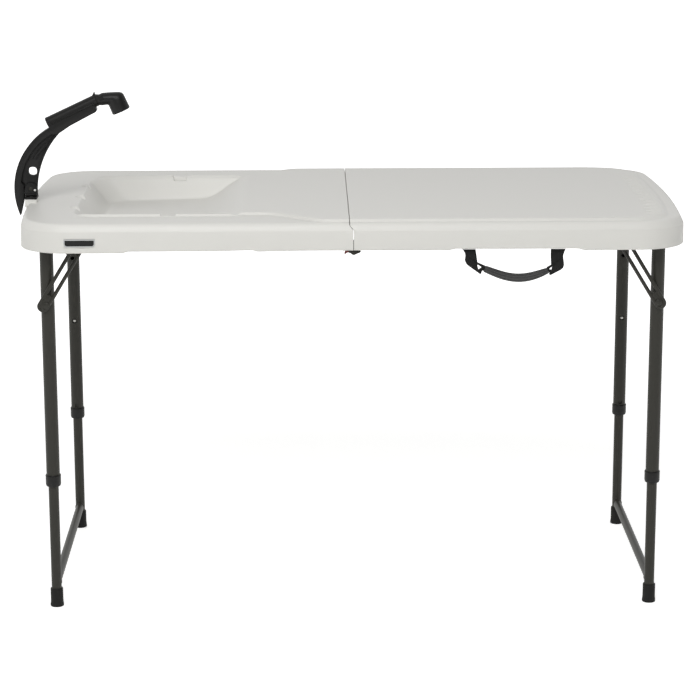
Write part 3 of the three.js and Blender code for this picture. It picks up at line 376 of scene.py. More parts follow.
zinc, shader = new_material("Zinc plated steel", "#B7B6B1", 0.32, metallic=1.0)
add_grain(zinc, shader, size=0.8 * MM, depth=0.005 * MM)

# The rim's pale flat grey is a painted reflection: it stands in for the shine of a silvery metal rim
silver_rim_painted_sheen, shader = new_material("Silver rim with painted sheen", "#C4C5C4", 0.5, ior=1.5)
add_grain(silver_rim_painted_sheen, shader, size=0.5 * MM, depth=0.003 * MM)

satin, shader = new_material("Satin nickel plate", "#D8D8D6", 0.55, metallic=0.6)
add_grain(satin, shader, size=0.6 * MM, depth=0.004 * MM)
print("materials", powder_coat.name, zinc.name, silver_rim_painted_sheen.name, satin.name, sep=", ")

# %% [markdown]
# Tap, drain and collars are moulded nylon in near black. Feet, plug and grip are rubber, the latch
# has a dull red tab, and the handle's straps are woven polypropylene webbing. The weave is a brick
# pattern: its rows are the threads, and the dark lines between them are the shadows in the weave.

# %% Plastics, rubber and webbing
nylon, shader = new_material("Moulded black nylon", "#121211", 0.42, ior=1.53, specular=WEAK_SPECULAR)
noise = add_grain(nylon, shader, size=0.7 * MM, depth=0.02 * MM)
vary_roughness(nylon, shader, noise, low=0.36, high=0.48)

rubber, shader = new_material("Moulded rubber", "#1B1B1A", 0.7, ior=1.52, specular=WEAK_SPECULAR)
add_grain(rubber, shader, size=0.8 * MM, depth=0.03 * MM)

grip_rubber, shader = new_material("Moulded grip rubber", "#383838", 0.6, ior=1.52)
add_grain(grip_rubber, shader, size=0.8 * MM, depth=0.03 * MM)

red_plastic, shader = new_material("Red moulded plastic", "#7E3A34", 0.45, ior=1.5)
add_grain(red_plastic, shader, size=0.8 * MM, depth=0.01 * MM)

webbing, shader = new_material("Woven polypropylene webbing", "#1F1F1F", 0.75, ior=1.49,
                               specular=WEAK_SPECULAR)
place = add_node(webbing, "ShaderNodeTexCoord")
# A thread shows 1.5 mm of its length, which is half a unit of the brick pattern
WEAVE_UNIT = 3.0 * MM
weave = add_node(webbing, "ShaderNodeTexBrick", settings={"offset": 0.5}, inputs={
    "Scale": 1 / WEAVE_UNIT, "Color1": colour("#222221"), "Color2": colour("#1C1C1C"),
    "Mortar": colour("#131313"), "Mortar Size": 0.03, "Brick Width": 0.5, "Row Height": 0.25})
lay_flat = add_node(webbing, "ShaderNodeMapping", inputs={"Rotation": (math.pi / 2, 0, 0)},
                    links={"Vector": (place, "Object")})
webbing.node_tree.links.new(lay_flat.outputs["Vector"], weave.inputs["Vector"])
webbing.node_tree.links.new(weave.outputs["Color"], shader.inputs["Base Color"])
bump = add_node(webbing, "ShaderNodeBump", inputs={"Strength": 0.6, "Distance": 0.2 * MM},
                links={"Height": (weave, "Fac")})
webbing.node_tree.links.new(bump.outputs["Normal"], shader.inputs["Normal"])
print("materials", nylon.name, rubber.name, grip_rubber.name, red_plastic.name, webbing.name, sep=", ")

# %% [markdown]
# ## The top
# Each half is one closed blow-moulded body. Its upper face is a grid whose lines are bent onto the
# rounded plan, so that lines of the same inset run round the corners as true offset curves, and
# its height comes from formulas for the shoulder, the raised cutting surface, the sink and the ramp.

# %% Plan of the top
CORNER_RADIUS = 88 * MM
END_BOW = 9 * MM
BOW_REACH = 60 * MM
# Within this distance of the edge, every grid line is an offset of the plan
EDGE_ZONE = 25 * MM
CORNER_U = HALF_LENGTH - END_BOW - CORNER_RADIUS
CORNER_Y = HALF_DEPTH - CORNER_RADIUS
GRID_END = HALF_LENGTH - END_BOW
LEAST_STEP = 0.05 * MM


def smooth_step(t):
    """From 0 to 1 while t goes from 0 to 1, level at both ends."""
    t = np.clip(t, 0, 1)
    return t * t * (3 - 2 * t)


def on_plan(u, y, inset=None):
    """Bends grid points onto the plan. u runs from the hinge line to the outer end. With an inset
    given, points of the outer edge land on that offset of the plan."""
    a = np.clip((u - CORNER_U) / CORNER_RADIUS, 0, 1)
    b = np.clip((abs(y) - CORNER_Y) / CORNER_RADIUS, 0, 1)
    larger = np.maximum(a, b)
    ratio = np.minimum(a, b) / np.maximum(larger, 1e-9)
    angle = np.where(a >= b, math.pi / 4 * ratio, math.pi / 2 - math.pi / 4 * ratio)
    radius = larger * CORNER_RADIUS
    if inset is not None:
        radius = np.where(larger > 0, CORNER_RADIUS - inset, 0)
    x_out = np.minimum(u, CORNER_U) + radius * np.cos(angle)
    y_out = np.sign(y) * (np.minimum(abs(y), CORNER_Y) + radius * np.sin(angle))
    bow = END_BOW * (1 - np.clip(abs(y) / CORNER_Y, 0, 1) ** 2)
    fade = smooth_step((u - GRID_END + BOW_REACH) / (BOW_REACH - EDGE_ZONE))
    return x_out + bow * fade, y_out


def spaced(start, end, step):
    """Even places from start to end, about one step apart."""
    count = max(1, int(round((end - start) / step)))
    return list(np.linspace(start, end, count + 1))


def lines_of(*spans):
    """Sorted grid lines from spans of start, end and step, each in metres."""
    found = sorted(v for span in spans for v in spaced(*span))
    kept = [found[0]]
    for value in found[1:]:
        if value - kept[-1] > LEAST_STEP:
            kept.append(value)
    return np.array(kept)


print("corners turn about", round(CORNER_U, 4), "from the hinge,", round(CORNER_Y, 4), "from the middle")


# %% [markdown]
# The rim's shoulder falls in a curve that gets steeper outward, and ends in a fine bead above the
# upright skirt. Inside the shoulder a narrow groove parts the rim from the raised cutting surface.
# Heights are formulas of the distance from an edge, so they stay smooth whatever the grid.

# %% Heights shared by both halves
PLATEAU_RISE = 4.5 * MM
RIM_Z = WORK_Z - PLATEAU_RISE
SHOULDER = 13 * MM
SHOULDER_POWER = 2.3
DRAFT = 0.8 * MM
BEAD = DRAFT + 0.8 * MM
BEAD_Z = RIM_Z - SHOULDER
PLATEAU_INSET = 18.4 * MM
PLATEAU_SLOPE = 3.2 * MM
GROOVE_DEPTH = 0.9 * MM
GROOVE_WIDTH = 1.1 * MM
# How far outside the raised surface's edge the groove runs
LEFT_GROOVE_OUT = 0.9 * MM
RIGHT_GROOVE_OUT = 0.6 * MM
PANEL_THICKNESS = 17.5 * MM
CEILING_Z = RIM_Z - PANEL_THICKNESS
SKIRT_WALL = 11 * MM

SHOULDER_ANGLES = np.linspace(0, math.pi / 2, 9)
SHOULDER_INSETS = BEAD + (SHOULDER - BEAD) * (1 - np.cos(SHOULDER_ANGLES))
GROOVE_INSETS = [13.8, 15, 16, 16.8, 17.4, 18, 18.6, 19.2, 19.8, 20.4, 21, 21.6, 22.2, 23.2]
EDGE_INSETS = [*SHOULDER_INSETS, *(v * MM for v in GROOVE_INSETS)]


def smooth_max(a, b, blend):
    """The larger of two heights, with a fillet where they meet."""
    h = np.clip(0.5 + 0.5 * (a - b) / blend, 0, 1)
    return b + (a - b) * h + blend * h * (1 - h)


def smooth_min(a, b, blend):
    """The smaller of two heights, with a fillet where they meet."""
    return -smooth_max(-a, -b, blend)


def shoulder_height(inset):
    """Height of the rim's shoulder at an inset from the outer edge."""
    share = np.clip(1 - (inset - BEAD) / (SHOULDER - BEAD), 0, 1)
    return RIM_Z - SHOULDER * share ** SHOULDER_POWER


def groove(distance):
    """A shallow rounded groove centred where distance is zero."""
    return GROOVE_DEPTH * np.exp(-(distance / GROOVE_WIDTH) ** 2)


def plateau_height(distance):
    """Height over the rim of the raised surface, from the distance inside its edge."""
    share = smooth_step(distance / PLATEAU_SLOPE)
    return (WORK_Z - RIM_Z) * share


print("rim at", round(RIM_Z, 4), "bead at", round(BEAD_Z, 4), "ceiling at", round(CEILING_Z, 4))


# %% [markdown]
# The sink has a sloping outer end, drafted sides, rounded corners and a floor that falls to the
# outer end. Its ramp climbs in an S to the cutting surface, which widens in a swoosh to the full
# depth. A low rounded lip runs round the opening.

# %% Sink and ramp heights
SINK_MARGIN = 104 * MM
SINK_END = HALF_LENGTH - SINK_MARGIN
# The sink lies a little nearer to the front edge
SINK_FORWARD = 8 * MM
SINK_HALF = 210 * MM
SINK_DEPTH = 45.5 * MM
SINK_WALL = 3 * MM
SINK_CORNER = 42 * MM
END_DRAFT = 37 * MM
SIDE_DRAFT = 16 * MM
FLOOR_RISE = 6 * MM
RAMP_FOOT = 292 * MM
RAMP_TOP = 195 * MM
SWOOSH_START = 165 * MM
SWOOSH_END = 42 * MM
# The back edge swings out this much earlier than the front edge
SWOOSH_AHEAD = 58 * MM
SWOOSH_GROOVE_FADE = 40 * MM
SCALLOP_RADIUS = 17 * MM
SCALLOP_DEPTH = 7 * MM
SCALLOP_PITCH = 120 * MM
SCALLOP_BLEND = 1.2 * MM
NOTCH_U = 337 * MM
NOTCH_HALF = 12.5 * MM
NOTCH_DEPTH = 6.5 * MM
NOTCH_REACH = 8.5 * MM
NOTCH_INWARD = 6 * MM
NOTCH_BLEND = 2 * MM
LIP_HEIGHT = 4.2 * MM
LIP_PLACE = 6.5 * MM
LIP_WIDTH = 3.2 * MM
LIP_START = 200 * MM
LIP_START_FADE = 30 * MM
LIP_END_FADE = 25 * MM


def wall_share(u, y, grown=0.0):
    """How far down the sink's wall a point is, from 0 at the rim to 1 at full depth."""
    from_end = SINK_END + grown - u
    from_side = SINK_HALF + grown - abs(y)
    corner = SINK_CORNER + grown
    across, along = corner - from_end, corner - from_side
    square = END_DRAFT ** 2 + SIDE_DRAFT ** 2
    half_b = END_DRAFT * across + SIDE_DRAFT * along
    rest = across ** 2 + along ** 2 - corner ** 2
    root = np.sqrt(np.maximum(0, half_b ** 2 - square * rest))
    turned_share = (-half_b + root) / square
    plain = np.minimum(from_end / END_DRAFT, from_side / SIDE_DRAFT)
    in_corner = from_end < END_DRAFT * turned_share + corner
    in_corner = in_corner & (from_side < SIDE_DRAFT * turned_share + corner)
    return np.where(in_corner, np.minimum(turned_share, plain), plain)


def floor_height(u):
    """Height of the sink's floor and of the ramp."""
    low = RIM_Z - SINK_DEPTH
    slope = FLOOR_RISE * np.clip((SINK_END - u) / (SINK_END - RAMP_FOOT), 0, 1)
    climb = smooth_step((RAMP_FOOT - u) / (RAMP_FOOT - RAMP_TOP))
    return low + slope + (WORK_Z - low - FLOOR_RISE) * climb


def swoosh_start(y):
    return SWOOSH_START + np.where(y > 0, SWOOSH_AHEAD, 0)


def swoosh_share(u, y):
    """From 0 at the ramp's width to 1 at the full width."""
    return smooth_step((swoosh_start(y) - u) / (SWOOSH_START - SWOOSH_END))


def swoosh_half(u, y):
    """Half the width of the raised surface."""
    narrow = SINK_HALF - 1 * MM
    wide = HALF_DEPTH - PLATEAU_INSET
    return narrow + (wide - narrow) * swoosh_share(u, y)


def sink_height(u, y, grown=0.0):
    """Height inside the sink, with fillets at its foot and at its rim. grown gives the outside of
    its wall."""
    floor = floor_height(u) - grown
    wall = RIM_Z - SINK_DEPTH * wall_share(u, y, grown)
    gap = np.abs(RIM_Z - floor)
    below = smooth_max(floor, wall, np.clip(gap * 0.5, 0.2 * MM, 8 * MM))
    return smooth_min(below, RIM_Z, np.clip(gap * 0.3, 0.1 * MM, 2.6 * MM))


def sink_lip(u, y):
    """A low rounded lip just outside the sink's opening. It fades out where the ramp begins."""
    across = u - (SINK_END - SINK_CORNER)
    along = abs(y) - (SINK_HALF - SINK_CORNER)
    outside = np.hypot(np.maximum(across, 0), np.maximum(along, 0)) - SINK_CORNER
    outside = outside + np.minimum(np.maximum(across, along), 0)
    lip = LIP_HEIGHT * np.exp(-((outside - LIP_PLACE) / LIP_WIDTH) ** 4)
    started = smooth_step((u - LIP_START) / LIP_START_FADE)
    return lip * started * smooth_step((SINK_END - u) / LIP_END_FADE)


def from_sink_middle(u, y):
    """y measured from the sink's own middle line. It returns to the table's where the deck widens."""
    return y + SINK_FORWARD * (1 - swoosh_share(u, y))


print("sink ends", round(SINK_END, 4), "from the hinge, its floor is at", round(RIM_Z - SINK_DEPTH, 4))

# %% [markdown]
# The left half's height joins the sink, the ramp and the raised surface with what is moulded into
# the rim: three round scallops at the sink's outer end and a square notch at its front and back.

# %% Height of the left half
def left_height(u, y, inset):
    """Height of the left half's upper face."""
    y = from_sink_middle(u, y)
    raised = plateau_height(swoosh_half(u, y) - abs(y))
    blend = smooth_step((floor_height(u) - RIM_Z) / (WORK_Z - RIM_Z))
    height = np.where(floor_height(u) < RIM_Z, sink_height(u, y), RIM_Z + raised * blend)
    started = smooth_step((swoosh_start(y) - u) / SWOOSH_GROOVE_FADE)
    height = height - groove(swoosh_half(u, y) + LEFT_GROOVE_OUT - abs(y)) * started
    height = height + sink_lip(u, y)
    for k in (-1, 0, 1):
        middle = k * SCALLOP_PITCH
        reach = (u - SINK_END) ** 2 + (y - middle) ** 2
        drop = SCALLOP_RADIUS - SCALLOP_DEPTH
        bowl = RIM_Z + drop - np.sqrt(np.maximum(0, SCALLOP_RADIUS ** 2 - reach))
        height = np.where(reach < SCALLOP_RADIUS ** 2, smooth_min(height, bowl, SCALLOP_BLEND), height)
    across = smooth_step((NOTCH_HALF + NOTCH_BLEND / 2 - abs(u - NOTCH_U)) / NOTCH_BLEND)
    out = smooth_step((SINK_HALF + NOTCH_REACH + NOTCH_BLEND / 2 - abs(y)) / NOTCH_BLEND)
    notch = RIM_Z - NOTCH_DEPTH * across * out
    notched = (across * out > 0) & (abs(y) > SINK_HALF - NOTCH_INWARD)
    height = np.where(notched, np.minimum(height, notch), height)
    return np.minimum(height, np.where(inset < SHOULDER, shoulder_height(inset), height))


print("scallops", SCALLOP_PITCH, "m apart, notches", NOTCH_U, "m from the hinge")

# %% [markdown]
# The right half's raised surface keeps well away from the outer end. It has large round corners
# there and falls in a gentle slope, where its long sides have a steeper edge and the groove.

# %% Height of the right half
PLATEAU_END_INSET = 27 * MM
PLATEAU_END_SLOPE = 11 * MM
PLATEAU_CORNER = 70 * MM
# The edge turns gentle from this far inside the outer end, over this length
GENTLE_START = 130 * MM
GENTLE_REACH = 80 * MM


def right_height(u, y, inset):
    """Height of the right half's upper face."""
    from_side = HALF_DEPTH - PLATEAU_INSET - abs(y)
    bow = END_BOW * (1 - np.clip(abs(y) / CORNER_Y, 0, 1) ** 2)
    from_end = GRID_END + bow - PLATEAU_END_INSET - u
    across = np.maximum(PLATEAU_CORNER - from_side, 0)
    along = np.maximum(PLATEAU_CORNER - from_end, 0)
    cornered = PLATEAU_CORNER - np.hypot(across, along)
    distance = np.where((across > 0) & (along > 0), cornered, np.minimum(from_side, from_end))
    gentle = smooth_step((u - GRID_END + GENTLE_START) / GENTLE_REACH)
    slope = PLATEAU_SLOPE + (PLATEAU_END_SLOPE - PLATEAU_SLOPE) * gentle
    height = RIM_Z + (WORK_Z - RIM_Z) * smooth_step(distance / slope)
    height = height - groove(distance + RIGHT_GROOVE_OUT) * (1 - gentle)
    return np.where(inset < SHOULDER, shoulder_height(inset), height)


print("raised surface ends", PLATEAU_END_INSET, "m inside the outer end")


# %% [markdown]
# Below the shoulder, rings of points run down the skirt, round its lower edge and up its inner wall.
# The front skirt is lifted a little above the carry handle, and sunk where the badge sits.

# %% Rings of the skirt
SEAM_STEP = 7 * MM
SEAM_GAP = 0.55 * MM
STEP_HIGH = WORK_Z - 9 * MM
STEP_HEIGHT = 8 * MM
STEP_LOW = STEP_HIGH - STEP_HEIGHT
SEAM_ROUND = 0.8 * MM
TOP_SMOOTH_ANGLE = 30
RECESS_START = 184 * MM
RECESS_END = 404 * MM
RECESS_HEIGHT = 3 * MM
RECESS_SLOPE = 12 * MM
UNDER_RADIUS = 2 * MM
CEILING_INSET = 2.8 * MM
# The lowest part of the skirt, which the recess lifts and the droop lowers
LOW_ZONE = 12 * MM
LOW_ZONE_FADE = 10 * MM
# A moulded skirt hangs a little lower towards the table's ends: left half, right half
SKIRT_DROOP = {-1: 3.2 * MM, 1: 1.4 * MM}
DROOP_START = 80 * MM
DROOP_REACH = 200 * MM
BADGE_START = 464 * MM
BADGE_END = 521 * MM
BADGE_LOW = SKIRT_Z + 8 * MM
BADGE_HIGH = SKIRT_Z + 23 * MM
BADGE_DEPTH = 1.3 * MM


def skirt_rows():
    """Inset and height of each ring below the shoulder, down, under the edge and up inside."""
    quarter = np.linspace(0, math.pi / 2, 4)[1:]
    rows = [(DRAFT + 0.25 * MM, BEAD_Z - 0.25 * MM), (DRAFT, BEAD_Z - 0.8 * MM)]
    for z in (BADGE_HIGH + 0.8 * MM, BADGE_HIGH + 0.5 * MM, BADGE_LOW - 0.5 * MM, BADGE_LOW - 0.8 * MM):
        rows.append((DRAFT * (z - SKIRT_Z) / (BEAD_Z - SKIRT_Z), z))
    rows += [(0, SKIRT_Z + UNDER_RADIUS)]
    for t in quarter:
        rows.append((UNDER_RADIUS * (1 - math.cos(t)), SKIRT_Z + UNDER_RADIUS * (1 - math.sin(t))))
    for t in quarter[::-1]:
        rows.append((SKIRT_WALL - UNDER_RADIUS * math.cos(t),
                     SKIRT_Z + UNDER_RADIUS * (1 - math.cos(t - quarter[0]))))
    rows += [(SKIRT_WALL, SKIRT_Z + UNDER_RADIUS * 1.4), (SKIRT_WALL, SKIRT_Z + LOW_ZONE)]
    rows += [(SKIRT_WALL, CEILING_Z - 3 * MM), (SKIRT_WALL + 0.8 * MM, CEILING_Z - 0.9 * MM)]
    return rows


def recess_rise(u):
    """How much the carry handle's recess lifts the front skirt."""
    inside = np.minimum(u - RECESS_START, RECESS_END - u) / RECESS_SLOPE + 1
    return RECESS_HEIGHT * smooth_step(inside)


def in_badge_pocket(side, front, edge_u, z):
    """True for the ring's points in the shallow pocket behind the badge."""
    along = (side < 0) & front & (edge_u > BADGE_START) & (edge_u < BADGE_END)
    return along & (abs(z - (BADGE_LOW + BADGE_HIGH) / 2) < (BADGE_HIGH - BADGE_LOW) / 2 + 0.6 * MM)


print("skirt rings", len(skirt_rows()))

# %% [markdown]
# One function makes either half as a closed mesh: the grid of the upper face, the rings of the
# skirt, the ceiling under the panel and the stepped face of the seam, all joined by quads.

# %% Body of one half
def moulded_half(name, side, u_lines, y_grid, height_at, under_at):
    """A half of the top. side is -1 for the left one. height_at and under_at give the heights of
    its upper face and of its ceiling."""
    u_top = -side * SEAM_STEP + SEAM_GAP
    u_low = SEAM_GAP

    def seam_u(z):
        return u_low + (u_top - u_low) * np.clip((z - STEP_LOW) / (STEP_HIGH - STEP_LOW), 0, 1)

    # The upper face
    columns, rows = y_grid.shape
    u_grid = np.repeat(u_lines[:, None], rows, axis=1)
    inset = np.minimum(GRID_END - u_grid, HALF_DEPTH - abs(y_grid))
    u_out, y_out = on_plan(u_grid, y_grid)
    z_top = height_at(u_out, y_out, inset)
    from_seam = u_lines - u_lines[0]
    near_seam = np.clip(1 - from_seam / SEAM_ROUND, 0, 1)
    z_top = z_top - (SEAM_ROUND * (1 - np.sqrt(1 - near_seam ** 2)))[:, None]
    close = from_seam < SEAM_ROUND + LEAST_STEP
    u_out[close] = seam_u(z_top[close]) + from_seam[close, None]
    points = [np.stack([u_out, y_out, z_top], -1).reshape(-1, 3)]
    faces = sheet_faces(columns, rows)

    # The skirt's rings, along the front, the outer end and the back
    edge = [(i, 0) for i in range(columns)] + [(columns - 1, j) for j in range(1, rows)]
    edge += [(i, rows - 1) for i in range(columns - 2, -1, -1)]
    edge_u = np.array([u_lines[i] for i, _ in edge])
    edge_y = np.array([y_grid[i, j] for i, j in edge])
    edge_from_seam = edge_u - u_lines[0]
    edge_close = edge_from_seam < SEAM_ROUND + LEAST_STEP
    ring = [i * rows + j for i, j in edge]
    start = columns * rows
    rings = [ring]
    front = np.arange(len(edge)) < columns
    for row_inset, row_z in skirt_rows():
        pocket = in_badge_pocket(side, front, edge_u, row_z)
        ring_u, ring_y = on_plan(edge_u, edge_y, row_inset + np.where(pocket, BADGE_DEPTH, 0))
        ring_z = np.full(len(edge), row_z)
        lowness = np.clip((SKIRT_Z + LOW_ZONE - row_z) / LOW_ZONE_FADE, 0, 1)
        droop = SKIRT_DROOP[side] * smooth_step((edge_u - DROOP_START) / DROOP_REACH)
        ring_z = ring_z + np.where(front, recess_rise(edge_u), 0) * lowness
        ring_z = ring_z - droop * lowness
        ring_u[edge_close] = (seam_u(ring_z) + edge_from_seam)[edge_close]
        points.append(np.stack([ring_u, ring_y, ring_z], -1))
        rings.append(list(range(start, start + len(edge))))
        start += len(edge)
    # The ceiling, drawn in so that it meets the inner wall
    shrink = (CORNER_RADIUS - SKIRT_WALL - CEILING_INSET) / CORNER_RADIUS
    under_u = np.where(u_grid > CORNER_U, CORNER_U + (u_grid - CORNER_U) * shrink, u_grid)
    under_y = np.where(abs(y_grid) > CORNER_Y,
                       np.sign(y_grid) * (CORNER_Y + (abs(y_grid) - CORNER_Y) * shrink), y_grid)
    under_u, under_y = on_plan(under_u, under_y)
    under_z = under_at(under_u, under_y)
    under_u[close] = u_low + from_seam[close, None]
    points.append(np.stack([under_u, under_y, under_z], -1).reshape(-1, 3))
    faces += sheet_faces(columns, rows, start)
    rings.append([start + i * rows + j for i, j in edge])
    under_seam = [start + j for j in range(rows)]
    start += columns * rows
    for upper, lower in zip(rings, rings[1:]):
        faces += [(upper[k], upper[k + 1], lower[k + 1], lower[k]) for k in range(len(upper) - 1)]

    # The seam's stepped face and its two small ends
    seam = [list(range(rows))]
    for level in (STEP_HIGH, STEP_LOW):
        z = np.minimum(z_top[0], level)
        points.append(np.stack([seam_u(z), y_out[0], z], -1))
        seam.append(list(range(start, start + rows)))
        start += rows
    for upper, lower in zip(seam, seam[1:]):
        faces += [(upper[k], upper[k + 1], lower[k + 1], lower[k]) for k in range(rows - 1)]
    faces += [(seam[-1][k], seam[-1][k + 1], under_seam[k + 1], under_seam[k]) for k in range(rows - 1)]
    for end in (0, -1):
        faces.append(tuple([seam[-1][end]] + [r[end] for r in rings[1:-1]] + [under_seam[end]]))
    points = np.concatenate(points)
    points[:, 0] = HINGE_X + side * points[:, 0]
    return mesh_object(name, points, faces, TOP_SMOOTH_ANGLE)


print("seam step", SEAM_STEP, "m wide and", STEP_HEIGHT, "m high")


# %% [markdown]
# The right half is the cutting side, with a flat raised surface. Its grid lines lie close together
# where the surface bends, at the seam, along the edges and in the corners.

# %% Right half
def under_plain(u, y):
    """A level ceiling."""
    return np.full(u.shape, CEILING_Z)


edge_u_spans = [(GRID_END - v, GRID_END - v, 1) for v in EDGE_INSETS]
edge_y_spans = [(HALF_DEPTH - v, HALF_DEPTH - v, 1) for v in EDGE_INSETS]
SEAM_LINE_STEP = 0.2 * MM
right_start = -SEAM_STEP + SEAM_GAP
right_u = lines_of((right_start, right_start + SEAM_ROUND, SEAM_LINE_STEP), (2 * MM, 160 * MM, 15 * MM),
                   (160 * MM, 430 * MM, 6 * MM), (440 * MM, CORNER_U, 15 * MM),
                   (CORNER_U, GRID_END - EDGE_ZONE, 2.5 * MM), *edge_u_spans)
right_y = lines_of((0, CORNER_Y, 15 * MM), (CORNER_Y, HALF_DEPTH - EDGE_ZONE, 3 * MM), *edge_y_spans)
right_y = np.concatenate([-right_y[:0:-1], right_y])
right_grid = np.repeat(right_y[None, :], len(right_u), axis=0)
right_top = moulded_half("right_top_moulding", 1, right_u, right_grid, right_height, under_plain)
finish_piece(right_top, "right_half", ["right_top"], polyethylene)
print("right half faces", len(right_top.data.polygons))
print_made("right half")

# %% [markdown]
# Along its outer end the raised surface has short strokes at a regular pitch, a shorter one after
# each longer one, like a ruler's. They are low ridges of the same plastic, so each is a small block
# that narrows upward, and they follow the curved end.

# %% Strokes at the outer end
RULER_INSET = 41 * MM
RULER_HEIGHT = 0.8 * MM
RULER_PITCH = 15.6 * MM
# The strokes' numbers, counted from the table's middle towards the back
RULER_STROKES = range(-16, 12)
SHORT_STROKE = 18 * MM
LONG_STROKE = 28 * MM
# Half a stroke's width at its foot and what its top is narrower, in mm
STROKE_HALF = 1.2
STROKE_TAPER = 0.7
STROKE_SUNK = 0.3 * MM
ruler_points = []
ruler_faces = []
for k in RULER_STROKES:
    along = SHORT_STROKE if k % 2 else LONG_STROKE
    tip_u, tip_y = on_plan(np.array([GRID_END - RULER_INSET]), np.array([k * RULER_PITCH]))
    tip = HINGE_X + float(tip_u[0])
    low_corners = [(tip - along, -STROKE_HALF), (tip, -STROKE_HALF),
                   (tip, STROKE_HALF), (tip - along, STROKE_HALF)]
    start = len(ruler_points)
    for z, narrower in ((WORK_Z - STROKE_SUNK, 0), (WORK_Z + RULER_HEIGHT, STROKE_TAPER)):
        for x, side in low_corners:
            across = side - math.copysign(narrower, side)
            ruler_points.append((x, float(tip_y[0]) + across * MM, z))
    ruler_faces.append(tuple(range(start, start + 4)))
    ruler_faces.append(tuple(range(start + 4, start + 8)))
    for c in range(4):
        d = (c + 1) % 4
        ruler_faces.append((start + c, start + d, start + 4 + d, start + 4 + c))
ruler = mesh_object("ruler_strokes", ruler_points, ruler_faces)
finish_piece(ruler, "right_half", (), polyethylene)
print_made("ruler")

# %% [markdown]
# The left half carries the sink. Its lines across the table spread with the swoosh, so that the
# edge of the raised surface stays smooth where it widens. Lines are a millimetre or two apart at
# the scallops, the notches and the sink's walls, and further apart on level ground.

# %% Left half
def under_sink(u, y):
    """The ceiling, lowered by the outside of the sink's wall."""
    outside = sink_height(u, from_sink_middle(u, y), SINK_WALL)
    return np.where(u > RAMP_TOP, np.minimum(CEILING_Z, outside), CEILING_Z)


left_start = SEAM_STEP + SEAM_GAP
left_u = lines_of((left_start, left_start + SEAM_ROUND, SEAM_LINE_STEP), (16 * MM, 36 * MM, 10 * MM),
                  (36 * MM, 300 * MM, 3.5 * MM), (300 * MM, 322 * MM, 7 * MM),
                  (322 * MM, 352 * MM, 1 * MM), (358 * MM, 462 * MM, 8 * MM),
                  (466 * MM, 536 * MM, 1.5 * MM), (540 * MM, GRID_END - EDGE_ZONE, 5 * MM), *edge_u_spans)
inner = lines_of((0, 26 * MM, 1.8 * MM), (34 * MM, 94 * MM, 10 * MM), (98 * MM, 152 * MM, 1.8 * MM),
                 (158 * MM, 184 * MM, 3 * MM), (186 * MM, 232 * MM, 1 * MM))
deck = np.linspace(236 * MM, HALF_DEPTH - EDGE_ZONE, 9)
narrow_y = np.concatenate([inner, deck, HALF_DEPTH - np.array(EDGE_INSETS)[::-1]])
GROOVE_LINES = 37
wide_inner = np.concatenate([np.linspace(0, 272 * MM, len(inner) - GROOVE_LINES),
                             np.linspace(274 * MM, 283 * MM, GROOVE_LINES)])
wide_deck = np.linspace(283.2 * MM, HALF_DEPTH - 23.5 * MM, 9)
wide_y = np.concatenate([wide_inner, wide_deck, HALF_DEPTH - np.array(EDGE_INSETS)[::-1]])
# The lines spread this much before the edge does
LINES_AHEAD = 6 * MM
half_grids = []
for side in (-1, 1):
    share = swoosh_share(left_u - LINES_AHEAD, side)
    half_grids.append(np.outer(1 - share, narrow_y) + np.outer(share, wide_y))
left_grid = np.concatenate([-half_grids[0][:, :0:-1], half_grids[1]], axis=1)
left_top = moulded_half("left_top_moulding", -1, left_u, left_grid, left_height, under_sink)
finish_piece(left_top, "base", ["left_top"], polyethylene)
print("left half faces", len(left_top.data.polygons))
print_made("left half")

# %% [markdown]
# ## Rails and centre hinge
# Folded steel rails run under the front and back edges. Where the halves meet, their webs end in
# round ears that lap over each other on a coated pin with rolled heads.

# %% Rails
EAR_RADIUS = 9 * MM
SLOT_HEIGHT = 8 * MM
SLOT_LENGTH = 222 * MM
SLOT_MARGIN = 59 * MM
RAIL_SHEET = 2 * MM
RAIL_OVERHANG = 14 * MM
RAIL_HEIGHT = 27 * MM
FLANGE_REACH = 13.9 * MM
PIVOT_HOLE = 6.3 * MM
PIN_HOLE = 3.8 * MM
HINGE_Z = middle_of("front_hinge_pin").z
PIVOT_Z = middle_of("left_pivot_rod").z
LEG_U = middle_of("right_pivot_rod").x - HINGE_X


def rail_parts(node, end):
    """A rail's upright web with its ear, slot and holes, and its level flange."""
    low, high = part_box(node)
    far = LEG_U + RAIL_OVERHANG
    top, foot = high.z, high.z - RAIL_HEIGHT
    lean = math.pi / 3
    ear = arc((0, HINGE_Z), EAR_RADIUS, math.pi - lean, 2 * math.pi - lean / 2, 24)
    outline = [(far, foot + 2 * MM), (far, top), (2 * EAR_RADIUS, top), *ear,
               (3 * EAR_RADIUS, foot), (far - 2 * MM, foot)]
    slot_end = LEG_U - SLOT_MARGIN
    slot_start = slot_end - SLOT_LENGTH
    half = SLOT_HEIGHT / 2
    slot = arc((slot_end, PIVOT_Z), half, -math.pi / 2, math.pi / 2, 10)
    slot += arc((slot_start, PIVOT_Z), half, math.pi / 2, 3 * math.pi / 2, 10)
    holes = [slot, round_hole(LEG_U, PIVOT_Z, PIVOT_HOLE, 24), round_hole(0, HINGE_Z, PIN_HOLE, 24)]
    placed = [[(HINGE_X + end * x, z) for x, z in loop] for loop in (outline, *holes)]
    side = 1 if low.y > 0 else -1
    near = low.y if side > 0 else high.y
    web = plate(node + "_web", placed[0], min(near, near + side * RAIL_SHEET),
                max(near, near + side * RAIL_SHEET), 0.3 * MM, placed[1:])
    flange_low = (HINGE_X + end * 4 * EAR_RADIUS, near, top - RAIL_SHEET)
    flange_high = (HINGE_X + end * CORNER_U, near + side * FLANGE_REACH, top)
    corners = [[min(a, b) for a, b in zip(flange_low, flange_high)],
               [max(a, b) for a, b in zip(flange_low, flange_high)]]
    return web, block(node + "_flange", corners[0], corners[1], 0.4 * MM)


